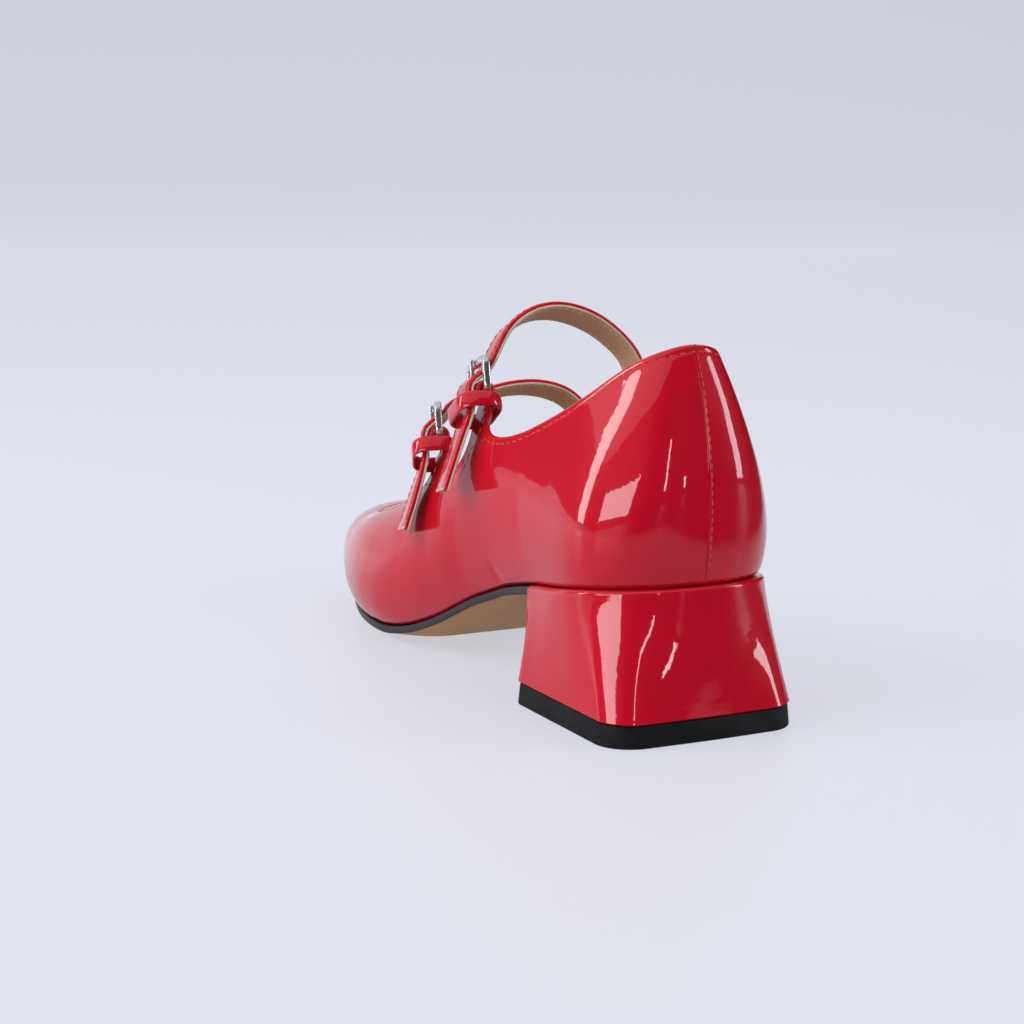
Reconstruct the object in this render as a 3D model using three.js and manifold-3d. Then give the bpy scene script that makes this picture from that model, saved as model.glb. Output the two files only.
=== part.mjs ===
import * as THREE from 'three';
import Module from 'manifold-3d';

const wasm = await Module();
wasm.setup();

// Main sizes of the left shoe in millimetres, toe along +Y, inner side along +X
const length = 234;
const halfBall = 42;
const backHeight = 103;
const wall = 1.8;
const clearance = 0.3;
const marginWidth = 6.6;

// Heel block and its lift
const heelWidth = 58;
const heelDepth = 57.5;
const heelCornerRear = 8.5;
const heelCornerFront = 2.5;
const heelBow = 0.8;
const heelRimProud = 1.6;
const heelRimRound = 1.4;
const breastAtSeat = 55.5;
const breastOverlap = 0.6;
const heelFlarePower = 1.25;
const liftHeight = 6;
const liftFlare = 0.5;

// Sole boards
const outsoleThickness = 2.4;
const outsoleProud = 0.4;
const insoleThickness = 2.2;
const insoleInset = 4.9;
const insoleRoom = 0.9;
const insoleLift = 0.45;
const insoleDraft = 0.3;

// Straps, keepers and buckles
const strapWidth = 11;
const strapThickness = 2.1;
const frameWidth = 16.4;
const frameLength = 11.4;
const frameDepth = 1.8;
const barWidth = 2.2;
const keeperBand = 4.8;
const keeperThickness = 1.3;
const keeperRoom = 1.9;
const keeperHalfDepth = 5.5;
const keeperCorner = 3.2;
const keeperTilt = 12;
const keeperBevel = 0.3;
const keeperMiddle = { rise: -9.1, out: 1.7 };
const frameCorner = 0.8;
const frameBevel = 0.35;
const prongRadius = 0.65;
const prongTilt = 0.15;
const eyeWidth = 1.6;
const eyeBand = 1.1;
const pinRoot = 1.6;
const pinTipGap = 1.4;

// Mesh density
const loopSteps = 72;
const wallRows = 8;
const plateColumns = 6;
const outsoleRungs = 32;
const insoleRungs = 32;
const toeCrowding = 0.45;
const heelCount = 20;
const strapStops = 64;
const cornerSteps = 4;
const roundSides = 12;
const foldSteps = 6;
const nearestStops = 2e-4;
const tabSpan = 0.06;
const tabSearch = 0.1;
const sweepShares = [0.01, 0.04, 0.14, 0.3, 0.5, 0.75, 1];
const heelWallLevels = [0.2, 0.4, 0.6, 0.8];
const anchorLevels = [0.62, 0.8, 0.96];
const tailStops = [0.3, 0.65, 1];

// Height of the outsole's lower rim along the shoe, shares of length and of back height
const lowerRim = [
  { along: 0.0000, height: 0.3720 },
  { along: 0.0855, height: 0.3520 },
  { along: 0.1709, height: 0.3214 },
  { along: 0.2393, height: 0.2971 },
  { along: 0.3162, height: 0.2602 },
  { along: 0.3547, height: 0.2311 },
  { along: 0.3974, height: 0.1961 },
  { along: 0.4359, height: 0.1573 },
  { along: 0.4744, height: 0.1165 },
  { along: 0.5214, height: 0.0738 },
  { along: 0.5556, height: 0.0485 },
  { along: 0.5897, height: 0.0311 },
  { along: 0.6239, height: 0.0228 },
  { along: 0.7094, height: 0.0228 },
  { along: 0.7607, height: 0.0272 },
  { along: 0.8205, height: 0.0388 },
  { along: 0.8974, height: 0.0641 },
  { along: 1.0000, height: 0.1019 },
];
const crownFlat = 0.4;
const crownHalfWidth = 12;

// Sections round the shoe, from the back along the outer side to the toe and home along the
// inner side; sideways columns are shares of half the ball width, lengthways ones shares of
// the length, upright ones shares of the back height
const sectionColumns = ['at', 'footX', 'footY', 'topX', 'topY', 'topZ',
  'lowOut', 'lowUp', 'highOut', 'highDown'];
const sectionRows = [
  ['heelBack', 0.000, 0.0188, 0.000, 0.0513, 1.000, 0.090, 0.169, 0.248, 0.194],
  ['heelCornerOut', -0.345, 0.0325, -0.181, 0.0581, 0.986, 0.129, 0.171, 0.226, 0.184],
  ['heelSideOut', -0.590, 0.0748, -0.305, 0.0919, 0.947, 0.157, 0.175, 0.190, 0.175],
  ['seatOut', -0.643, 0.1453, -0.460, 0.1453, 0.860, 0.138, 0.175, 0.155, 0.155],
  ['breastOut', -0.586, 0.2308, -0.586, 0.2308, 0.759, 0.152, 0.136, 0.119, 0.136],
  ['shankOut', -0.567, 0.3077, -0.648, 0.2821, 0.717, 0.167, 0.117, 0.107, 0.117],
  ['rearTab', -0.595, 0.3889, -0.681, 0.3654, 0.670, 0.171, 0.117, 0.114, 0.117],
  ['tabNotch', -0.643, 0.4658, -0.714, 0.4274, 0.563, 0.190, 0.107, 0.110, 0.107],
  ['frontTab', -0.702, 0.5427, -0.705, 0.4808, 0.529, 0.229, 0.097, 0.133, 0.107],
  ['jointOut', -0.771, 0.6325, -0.638, 0.5897, 0.440, 0.252, 0.087, 0.226, 0.073],
  ['smallToes', -0.710, 0.7222, -0.555, 0.6902, 0.377, 0.219, 0.087, 0.262, 0.037],
  ['outerToe', -0.543, 0.8205, -0.417, 0.7628, 0.338, 0.190, 0.097, 0.298, 0.016],
  ['toeCornerOut', -0.276, 0.9154, -0.214, 0.8034, 0.334, 0.205, 0.117, 0.429, 0.008],
  ['toeTip', 0.119, 0.9744, 0.071, 0.8162, 0.337, 0.214, 0.117, 0.548, 0.005],
  ['toeCornerIn', 0.500, 0.9316, 0.321, 0.7970, 0.334, 0.205, 0.107, 0.429, 0.008],
  ['bigToe', 0.738, 0.8376, 0.507, 0.7393, 0.352, 0.167, 0.087, 0.310, 0.021],
  ['jointIn', 0.821, 0.7350, 0.626, 0.6581, 0.401, 0.176, 0.078, 0.262, 0.049],
  ['ballIn', 0.750, 0.6239, 0.714, 0.5556, 0.461, 0.190, 0.097, 0.179, 0.078],
  ['archIn', 0.548, 0.5043, 0.745, 0.4530, 0.539, 0.226, 0.117, 0.119, 0.107],
  ['waistIn', 0.448, 0.3932, 0.738, 0.3590, 0.626, 0.250, 0.126, 0.100, 0.117],
  ['shankIn', 0.488, 0.2821, 0.655, 0.2650, 0.717, 0.214, 0.136, 0.107, 0.126],
  ['seatIn', 0.626, 0.1795, 0.531, 0.1880, 0.809, 0.131, 0.155, 0.131, 0.146],
  ['heelSideIn', 0.590, 0.0748, 0.305, 0.0919, 0.947, 0.157, 0.175, 0.190, 0.175],
  ['heelCornerIn', 0.345, 0.0325, 0.181, 0.0581, 0.986, 0.129, 0.171, 0.226, 0.184],
];

// Each buckle: middle of its frame and the directions of its width and of the strap's rise,
// plus the direction in which the loose tail hangs
const fastenings = [
  {
    name: 'rear', middle: [-24.6, 90.3, 87.2], across: [0.08, 0.94, -0.34], rise: [0.08, 0.33, 0.94],
    tail: [-0.38, -0.12, -0.90], tailLength: 22.3, rearFlare: 14, frontFlare: 6, root: 'rearTab',
    anchorY: 90,
  },
  {
    name: 'front', middle: [-24.9, 118.2, 71.0], across: [0.36, 0.87, -0.34], rise: [0.10, 0.35, 0.93],
    tail: [-0.38, -0.12, -0.92], tailLength: 21.4, rearFlare: 6, frontFlare: 13, root: 'frontTab',
    anchorY: 119,
  },
];

// Middle line of each strap over the instep, from the inner side to the buckle; lean is the
// fall of the strap's front edge and veer its turn inwards, in degrees
const strapRuns = {
  rear: [
    { x: 28.4, y: 90.0, z: 80.5, lean: 8, veer: 0 },
    { x: 25.1, y: 90.0, z: 90.6, lean: 14, veer: 0 },
    { x: 19.9, y: 90.0, z: 96.6, lean: 20, veer: 0 },
    { x: 11.2, y: 90.0, z: 102.6, lean: 25, veer: 0 },
    { x: 0.5, y: 90.0, z: 106.0, lean: 25.5, veer: 0 },
    { x: -7.8, y: 90.0, z: 105.5, lean: 25, veer: 0 },
    { x: -14.2, y: 90.3, z: 102.3, lean: 24, veer: 2 },
    { x: -18.0, y: 90.8, z: 98.0, lean: 22, veer: 4 },
  ],
  front: [
    { x: 26.6, y: 119.0, z: 66.5, lean: 12, veer: 0 },
    { x: 22.4, y: 119.6, z: 73.6, lean: 18, veer: 0 },
    { x: 16.4, y: 120.0, z: 78.0, lean: 23, veer: 0 },
    { x: 7.0, y: 120.0, z: 80.4, lean: 25, veer: 0 },
    { x: -3.0, y: 120.0, z: 80.1, lean: 25, veer: 4 },
    { x: -11.0, y: 120.2, z: 78.2, lean: 24, veer: 12 },
    { x: -16.8, y: 119.4, z: 76.8, lean: 22, veer: 22 },
  ],
};
const tailAcross = [0.25, 0.95, -0.1];

// Strap course beside its buckle, as heights along the rise and out of the frame's plane
const buckleCourse = [
  { rise: 5.0, out: -3.5 },
  { rise: 2.9, out: -2.6 },
  { rise: 0.9, out: 0.0 },
  { rise: -1.2, out: 2.85 },
  { rise: -2.7, out: 4.0 },
  { rise: -4.6, out: 4.5 },
  { rise: -6.6, out: 4.35 },
  { rise: -8.8, out: 4.3 },
  { rise: -11.0, out: 4.6 },
];

// Rounded rim of the heel block under the upper, from its top edge down
const heelRim = [
  { inset: 0.45, drop: 0.2 },
  { inset: 0.12, drop: 0.5 },
  { inset: 0.00, drop: 1.1 },
];

const vec = (x, y, z) => new THREE.Vector3(x, y, z);
const mix = (a, b, t) => a.clone().lerp(b, t);

// Place between low and high where a condition stops being true
function bisect(low, high, below) {
  let from = low;
  let to = high;
  for (let k = 0; k < 48; k += 1) {
    const middle = (from + to) / 2;
    if (below(middle)) from = middle;
    else to = middle;
  }
  return (from + to) / 2;
}

// Table helpers
function sectionTable() {
  return sectionRows.map((row) => Object.fromEntries(sectionColumns.map((key, i) => [key, row[i]])));
}

function monotone(rows, xKey, yKey) {
  const xs = rows.map((row) => row[xKey]);
  const ys = rows.map((row) => row[yKey]);
  const slopes = xs.slice(1).map((x, i) => (ys[i + 1] - ys[i]) / (x - xs[i]));
  const tangents = xs.map((x, i) => {
    if (i === 0) return slopes[0];
    if (i === xs.length - 1) return slopes[i - 1];
    if (slopes[i - 1] * slopes[i] <= 0) return 0;
    return (2 * slopes[i - 1] * slopes[i]) / (slopes[i - 1] + slopes[i]);
  });
  return (x) => {
    let i = 0;
    while (i < xs.length - 2 && x > xs[i + 1]) i += 1;
    const span = xs[i + 1] - xs[i];
    const t = Math.min(Math.max((x - xs[i]) / span, 0), 1);
    const a = 2 * t ** 3 - 3 * t ** 2 + 1;
    const b = t ** 3 - 2 * t ** 2 + t;
    const c = -2 * t ** 3 + 3 * t ** 2;
    const d = t ** 3 - t ** 2;
    return a * ys[i] + b * span * tangents[i] + c * ys[i + 1] + d * span * tangents[i + 1];
  };
}

// Closed cubic spline through values at knots; the second derivatives come from a small
// system solved by elimination
function closedSpline(knots, period, values) {
  const n = knots.length;
  const gap = knots.map((k, i) => (i < n - 1 ? knots[i + 1] - k : period - k + knots[0]));
  const matrix = knots.map(() => new Array(n + 1).fill(0));
  for (let i = 0; i < n; i += 1) {
    const before = (i + n - 1) % n;
    const after = (i + 1) % n;
    matrix[i][before] += gap[before] / 6;
    matrix[i][i] += (gap[before] + gap[i]) / 3;
    matrix[i][after] += gap[i] / 6;
    matrix[i][n] = (values[after] - values[i]) / gap[i] - (values[i] - values[before]) / gap[before];
  }
  for (let i = 0; i < n; i += 1) {
    const pivot = matrix[i][i];
    for (let k = i; k <= n; k += 1) matrix[i][k] /= pivot;
    for (let r = 0; r < n; r += 1) {
      const factor = r === i ? 0 : matrix[r][i];
      for (let k = i; k <= n && factor !== 0; k += 1) matrix[r][k] -= factor * matrix[i][k];
    }
  }
  const second = matrix.map((row) => row[n]);
  return (u) => {
    const w = ((u % period) + period) % period;
    let i = n - 1;
    while (i > 0 && w < knots[i]) i -= 1;
    const j = (i + 1) % n;
    const b = (w - knots[i]) / gap[i];
    const a = 1 - b;
    return a * values[i] + b * values[j]
      + ((a ** 3 - a) * second[i] + (b ** 3 - b) * second[j]) * gap[i] ** 2 / 6;
  };
}

const rimShare = monotone(lowerRim, 'along', 'height');
const rimHeight = (y) => rimShare(y / length) * backHeight;
// The middle of the outsole bulges below its rim by as much as the rim's lowest height
const soleCrown = Math.min(...lowerRim.map((row) => row.height)) * backHeight;
const seatHeight = (y) => rimHeight(y) + outsoleThickness + clearance;

// The upper as one function: loop position u in 0..1 round the shoe
const table = sectionTable();
const knots = [];
let travelled = 0;
table.forEach((row, i) => {
  knots.push(travelled);
  const next = table[(i + 1) % table.length];
  const foot = Math.hypot((next.footX - row.footX) * halfBall, (next.footY - row.footY) * length);
  const top = Math.hypot((next.topX - row.topX) * halfBall, (next.topY - row.topY) * length);
  travelled += (foot + top) / 2;
});
const loopKnots = knots.map((k) => k / travelled);
const column = {};
const columnScale = { footX: halfBall, footY: length, topX: halfBall, topY: length, topZ: backHeight,
  lowOut: halfBall, lowUp: backHeight, highOut: halfBall, highDown: backHeight };
Object.entries(columnScale).forEach(([key, scale]) => {
  column[key] = closedSpline(loopKnots, 1, table.map((row) => row[key] * scale));
});
const knotOf = (name) => loopKnots[table.findIndex((row) => row.at === name)];

function planNormal(xOf, yOf, u) {
  const step = 1e-4;
  const dx = xOf(u + step) - xOf(u - step);
  const dy = yOf(u + step) - yOf(u - step);
  const size = Math.hypot(dx, dy);
  return vec(-dy / size, dx / size, 0);
}

// Point of the feather edge, moved inwards in plan by an inset
function footPoint(u, inset) {
  const out = planNormal(column.footX, column.footY, u);
  const x = column.footX(u) - out.x * inset;
  const y = column.footY(u) - out.y * inset;
  return vec(x, y, seatHeight(y));
}

function topPoint(u) {
  return vec(column.topX(u), column.topY(u), column.topZ(u));
}

function wallCurve(u) {
  const foot = footPoint(u, 0);
  const top = topPoint(u);
  const low = foot.clone().addScaledVector(planNormal(column.footX, column.footY, u), column.lowOut(u));
  low.z += column.lowUp(u);
  const high = top.clone().addScaledVector(planNormal(column.topX, column.topY, u), column.highOut(u));
  high.z -= column.highDown(u);
  return new THREE.CubicBezierCurve3(foot, low, high, top);
}

// Local frame of a fastening: across the strap, up along it and outwards
function fasteningFrame(item) {
  const across = vec(...item.across).normalize();
  const rise = vec(...item.rise);
  rise.addScaledVector(across, -rise.dot(across)).normalize();
  const out = rise.clone().cross(across).normalize();
  const middle = vec(...item.middle);
  return {
    across, rise, out, middle,
    at: (w, a, n) => middle.clone().addScaledVector(across, w).addScaledVector(rise, a)
      .addScaledVector(out, n),
  };
}

// The tab runs up behind the lower bar of its buckle and folds over it at this radius
const foldRadius = barWidth / 2 + clearance + wall / 2;
const lowerBar = -(frameLength - barWidth) / 2;
const tabBell = 8;
const tabHalf = strapWidth / 2;
const tabSweep = 7;
const tabLand = 1;
const foldSink = 0.3;
const foldTail = 2.6;
const tabs = fastenings.map((item) => {
  const frame = fasteningFrame(item);
  const rootKnot = knotOf(item.root);
  const root = topPoint(rootKnot);
  const target = frame.at(0, lowerBar - tabLand, -(foldRadius - wall / 2));
  const direction = target.clone().sub(root);
  const reach = direction.length();
  return { item, frame, root, rootKnot, target, reach, direction: direction.normalize() };
});

// How far the topline at u lies in front of the middle of a tab, measured across the tab
function tabOffset(u, tab) {
  const here = topPoint(u);
  const { across } = tab.frame;
  return (here.y - tab.root.y) + (here.z - tab.root.z) * across.z / across.y;
}

// Rise of the topline beside a tab: a level head with a rounded sweep on either side
function bellRise(u) {
  let best = { rise: 0, tab: null };
  tabs.forEach((tab) => {
    if (Math.abs(u - tab.rootKnot) > tabSearch) return;
    const offset = tabOffset(u, tab);
    const beyond = Math.abs(offset) - tabHalf;
    const flare = offset < 0 ? tab.item.rearFlare : tab.item.frontFlare;
    if (beyond > flare) return;
    const x = Math.max(beyond, 0) / flare;
    const rise = beyond <= 0 ? tabBell : tabSweep * (1 - Math.sqrt(1 - (1 - x) ** 2));
    if (rise > best.rise) best = { rise, tab };
  });
  return best;
}

// Outer skin: reach 0 at the feather edge, 1 at the plain topline, beyond 1 up a tab
function outerSkin(u, reach, curve) {
  const line = curve || wallCurve(u);
  if (reach <= 1) return line.getPoint(reach);
  const bell = bellRise(u);
  const top = line.getPoint(1);
  const own = line.getTangent(1);
  const share = Math.min(bell.rise / tabBell, 1);
  const direction = mix(own, bell.tab.direction, Math.sqrt(share)).normalize();
  return top.addScaledVector(direction, (reach - 1) * line.getLength());
}

// Stops round the loop, closer together beside the tabs
function loopStops() {
  const stops = [];
  for (let i = 0; i < loopSteps; i += 1) {
    const u = i / loopSteps;
    if (tabs.every((tab) => Math.abs(u - tab.rootKnot) > tabSpan)) stops.push(u);
  }
  tabs.forEach((tab) => {
    const rear = sweepShares.map((share) => -tabHalf - tab.item.rearFlare * share);
    const front = sweepShares.map((share) => tabHalf + tab.item.frontFlare * share);
    [...rear, -tabHalf, -tabHalf / 2, 0, tabHalf / 2, tabHalf, ...front].forEach((offset) => {
      stops.push(bisect(tab.rootKnot - tabSearch, tab.rootKnot + tabSearch,
        (u) => tabOffset(u, tab) < offset));
    });
  });
  return stops.sort((a, b) => a - b).filter((u, i, all) => i === 0 || u - all[i - 1] > nearestStops);
}

// Skin rows of one section: the turned-under margin, the feather corner, then the wall
const cornerCut = 3.2;
const firstWallRow = 4;
const skinRows = wallRows + firstWallRow + 1;

function reachAt(u, row, curve) {
  const start = cornerCut / curve.getLength();
  const full = 1 + bellRise(u).rise / curve.getLength();
  return start + (full - start) * Math.max(row - firstWallRow, 0) / wallRows;
}

function sectionRow(u, row) {
  if (row === 0) return footPoint(u, marginWidth);
  if (row === 1) return footPoint(u, cornerCut);
  const curve = wallCurve(u);
  const reach = reachAt(u, row, curve);
  if (row >= firstWallRow) return outerSkin(u, reach, curve);
  const t = (row - 1) / (firstWallRow - 1);
  const inner = footPoint(u, cornerCut);
  const corner = footPoint(u, 0);
  const onWall = curve.getPoint(reach);
  return mix(mix(inner, corner, t), mix(corner, onWall, t), t);
}

function skinNormal(u, row) {
  const step = 5e-4;
  if (row < firstWallRow) {
    const along = sectionRow(u + step, row).sub(sectionRow(u - step, row));
    const below = sectionRow(u, Math.max(row - 1, 0));
    return sectionRow(u, row + 1).sub(below).cross(along).normalize();
  }
  const curve = wallCurve(u);
  const reach = reachAt(u, row, curve);
  const level = Math.min(reach, 1);
  const along = wallCurve(u + step).getPoint(level).sub(wallCurve(u - step).getPoint(level));
  const bell = bellRise(u);
  const upward = curve.getTangent(level);
  if (reach > 1) upward.lerp(bell.tab.direction, Math.sqrt(Math.min(bell.rise / tabBell, 1)));
  return upward.cross(along).normalize();
}

function meshFrom(points, faces) {
  const geometry = new THREE.BufferGeometry();
  geometry.setAttribute('position', new THREE.Float32BufferAttribute(points.flatMap((p) => [p.x, p.y, p.z]), 3));
  geometry.setIndex(faces);
  return geometry;
}

function upperShell() {
  const stops = loopStops();
  const points = [];
  stops.forEach((u) => {
    const outer = [];
    const inner = [];
    for (let row = 0; row < skinRows; row += 1) {
      const skin = sectionRow(u, row);
      outer.push(skin);
      inner.push(skin.clone().addScaledVector(skinNormal(u, row), -wall));
    }
    points.push(...outer, ...inner.reverse());
  });
  const ring = 2 * skinRows;
  const faces = [];
  for (let i = 0; i < stops.length; i += 1) {
    const next = (i + 1) % stops.length;
    for (let k = 0; k < ring; k += 1) {
      const l = (k + 1) % ring;
      faces.push(i * ring + k, next * ring + l, next * ring + k);
      faces.push(i * ring + k, i * ring + l, next * ring + l);
    }
  }
  return meshFrom(points, faces);
}

// Band of rectangular section swept along stations of middle point, width and face directions
function sweptBand(stations, width, thickness) {
  const points = [];
  stations.forEach(({ middle, across, face }) => {
    [[-1, -1], [1, -1], [1, 1], [-1, 1]].forEach(([w, f]) => {
      points.push(middle.clone().addScaledVector(across, w * width / 2)
        .addScaledVector(face, f * thickness / 2));
    });
  });
  const faces = [];
  for (let i = 0; i < stations.length - 1; i += 1) {
    for (let k = 0; k < 4; k += 1) {
      const l = (k + 1) % 4;
      const a = i * 4;
      const b = a + 4;
      faces.push(a + k, b + l, b + k, a + k, a + l, b + l);
    }
  }
  const end = (stations.length - 1) * 4;
  faces.push(0, 2, 1, 0, 3, 2, end, end + 1, end + 2, end, end + 2, end + 3);
  return meshFrom(points, faces);
}

// Stations along a smooth curve through given places, with the width direction blended
function stationsThrough(places, count) {
  const curve = new THREE.CatmullRomCurve3(places.map((place) => place.point), false, 'centripetal');
  const stations = [];
  for (let i = 0; i <= count; i += 1) {
    const t = i / count;
    const scaled = t * (places.length - 1);
    const k = Math.min(Math.floor(scaled), places.length - 2);
    const tangent = curve.getTangent(t);
    const across = mix(places[k].across, places[k + 1].across, scaled - k);
    across.addScaledVector(tangent, -across.dot(tangent)).normalize();
    stations.push({ middle: curve.getPoint(t), across, face: tangent.clone().cross(across).normalize() });
  }
  return stations;
}

const toManifold = (geometry) => {
  const positions = new Float32Array(geometry.attributes.position.array);
  const mesh = new wasm.Mesh({ numProp: 3, vertProperties: positions,
    triVerts: new Uint32Array(geometry.index.array) });
  mesh.merge();
  return new wasm.Manifold(mesh);
};

const weldTolerance = 0.02;
const fromManifold = (solid) => {
  const mesh = solid.simplify(weldTolerance).getMesh();
  const geometry = new THREE.BufferGeometry();
  geometry.setAttribute('position', new THREE.BufferAttribute(new Float32Array(mesh.vertProperties), 3));
  geometry.setIndex(new THREE.BufferAttribute(new Uint32Array(mesh.triVerts), 1));
  return geometry;
};

// Strip that carries each tab up behind its buckle's lower bar and folds down over it
function tabFold(tab) {
  const { frame, root, direction, reach } = tab;
  const first = root.clone().addScaledVector(direction, tabBell - foldSink);
  const second = root.clone().addScaledVector(direction, reach);
  const rootFace = direction.clone().cross(frame.across).normalize();
  const places = [first, mix(first, second, 0.5), second].map((point) => (
    { middle: point.clone().addScaledVector(rootFace, -wall / 2), across: frame.across, face: rootFace }
  ));
  for (let k = 0; k <= foldSteps; k += 1) {
    const angle = Math.PI * k / foldSteps;
    const a = lowerBar + foldRadius * Math.sin(angle);
    const n = -foldRadius * Math.cos(angle);
    const face = frame.rise.clone().multiplyScalar(Math.sin(angle))
      .addScaledVector(frame.out, -Math.cos(angle)).normalize();
    places.push({ middle: frame.at(0, a, n), across: frame.across, face: face.negate() });
  }
  places.push({ middle: frame.at(0, lowerBar - foldTail, foldRadius), across: frame.across,
    face: frame.out.clone().negate() });
  return sweptBand(places, strapWidth, wall);
}

// Slot that the prong's eye needs in the fold round the bar
const eyeInner = barWidth / 2 + clearance;
const eyeOuter = eyeInner + eyeBand;
function eyeSlot(frame) {
  const half = eyeOuter + 3 * clearance;
  const box = new THREE.BoxGeometry(2 * half, eyeWidth + 2 * clearance, 2 * half);
  box.applyMatrix4(new THREE.Matrix4().makeBasis(frame.rise, frame.across, frame.out)
    .setPosition(frame.at(0, lowerBar, 0)));
  return toManifold(box);
}

function upperSolid() {
  let solid = toManifold(upperShell());
  tabs.forEach((tab) => {
    solid = solid.add(toManifold(tabFold(tab))).subtract(eyeSlot(tab.frame));
  });
  return fromManifold(solid);
}

// Ladder of rungs between matching left and right edge points; a rung of no length is one point
function ladder(lefts, rights, columns, place) {
  const points = [];
  const rungs = lefts.map((left, i) => {
    const right = rights[i];
    const single = left.distanceTo(right) < 1e-6;
    const count = single ? 1 : columns + 1;
    const rung = [];
    for (let k = 0; k < count; k += 1) {
      rung.push(points.length);
      points.push(place(mix(left, right, single ? 0 : k / columns)));
    }
    return rung;
  });
  const faces = [];
  for (let i = 0; i < rungs.length - 1; i += 1) {
    for (let k = 0; k < columns; k += 1) {
      const a = rungs[i][Math.min(k, rungs[i].length - 1)];
      const b = rungs[i][Math.min(k + 1, rungs[i].length - 1)];
      const c = rungs[i + 1][Math.min(k + 1, rungs[i + 1].length - 1)];
      const d = rungs[i + 1][Math.min(k, rungs[i + 1].length - 1)];
      if (a !== b) faces.push(a, b, c);
      if (c !== d) faces.push(a, c, d);
    }
  }
  const edge = [];
  rungs.forEach((rung) => edge.push(rung[0]));
  const last = rungs[rungs.length - 1];
  edge.push(...last.slice(1));
  for (let i = rungs.length - 2; i >= 0; i -= 1) {
    if (rungs[i].length > 1) edge.push(rungs[i][rungs[i].length - 1]);
  }
  const first = rungs[0];
  if (first.length > 2) edge.push(...first.slice(1, -1).reverse());
  return { points, faces, edge, rungs };
}

// Solid between a top ladder and a bottom ladder with loops of wall points in between
function stackedSolid(top, loops, bottom) {
  const points = [...top.points];
  const faces = [...top.faces];
  let previous = top.edge;
  loops.forEach((loop) => {
    const start = points.length;
    points.push(...loop);
    const next = loop.map((_, i) => start + i);
    joinLoops(faces, previous, next);
    previous = next;
  });
  const base = points.length;
  points.push(...bottom.points);
  joinLoops(faces, previous, bottom.edge.map((i) => base + i));
  for (let i = 0; i < bottom.faces.length; i += 3) {
    faces.push(base + bottom.faces[i], base + bottom.faces[i + 2], base + bottom.faces[i + 1]);
  }
  return meshFrom(points, faces);
}

function joinLoops(faces, upper, lower) {
  const n = upper.length;
  for (let i = 0; i < n; i += 1) {
    const j = (i + 1) % n;
    faces.push(upper[i], upper[j], lower[j], upper[i], lower[j], lower[i]);
  }
}

// Loop positions of the outer and inner side, paired from the back to the toe
const toeKnot = knotOf('toeTip');
function sidePairs(from, to, count) {
  const outer = [];
  const inner = [];
  for (let i = 0; i <= count; i += 1) {
    const t = from + (to - from) * i / count;
    outer.push(toeKnot * t);
    inner.push(1 - (1 - toeKnot) * t);
  }
  return { outer, inner };
}

function uForY(y, innerSide) {
  return bisect(innerSide ? 1 : 0, toeKnot, (u) => column.footY(u) < y);
}

const onHeight = (height) => (point) => vec(point.x, point.y, height(point.x, point.y));

// Outsole from the heel's breast to the toe; level on top, its underside bulges to the floor
function outsole() {
  const rear = breastAtSeat + clearance;
  const startOut = uForY(rear, false);
  const startIn = uForY(rear, true);
  const count = outsoleRungs;
  const lefts = [];
  const rights = [];
  for (let i = 0; i <= count; i += 1) {
    const t = i / count + toeCrowding * (Math.sin(Math.PI / 2 * i / count) - i / count);
    lefts.push(footPoint(startOut + (toeKnot - startOut) * t, -outsoleProud));
    rights.push(footPoint(startIn + (toeKnot - startIn) * t, -outsoleProud));
  }
  lefts[0].y = rear;
  rights[0].y = rear;
  const top = ladder(lefts, rights, plateColumns, onHeight((x, y) => seatHeight(y) - clearance));
  const bottom = ladder(lefts, rights, plateColumns, onHeight((x, y) => rimHeight(y)));
  lefts.forEach((left, i) => {
    const half = left.distanceTo(rights[i]) / 2;
    const depth = soleCrown * Math.min(half / crownHalfWidth, 1);
    for (let k = 1; half > 0 && k < plateColumns; k += 1) {
      const edge = Math.max((Math.abs(2 * k / plateColumns - 1) - crownFlat) / (1 - crownFlat), 0);
      bottom.points[bottom.rungs[i][k]].z -= depth * (1 - edge ** 2);
    }
  });
  return stackedSolid(top, [], bottom);
}

// Insole board inside the upper: its rim lies on the turned-under margin, its middle below it
function insole() {
  const count = insoleRungs;
  const pairs = sidePairs(0, 1, count);
  const rim = insoleInset;
  const step = marginWidth + insoleRoom;
  const at = (us, inset) => us.map((u) => footPoint(u, inset));
  const rimBottom = (y) => seatHeight(y) + wall + insoleLift;
  const rimLevel = onHeight((x, y) => rimBottom(y));
  const lowLevel = onHeight((x, y) => seatHeight(y));
  const topLevel = onHeight((x, y) => rimBottom(y) + insoleThickness);
  const top = ladder(at(pairs.outer, rim), at(pairs.inner, rim), plateColumns, topLevel);
  const plain = (point) => point;
  const loopAt = (inset, level) => {
    const frame = ladder(at(pairs.outer, inset), at(pairs.inner, inset), plateColumns, plain);
    return frame.edge.map((i) => level(frame.points[i]));
  };
  const low = step + insoleDraft;
  const bottom = ladder(at(pairs.outer, low), at(pairs.inner, low), plateColumns, lowLevel);
  return stackedSolid(top, [loopAt(rim, rimLevel), loopAt(step, rimLevel)], bottom);
}

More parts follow.
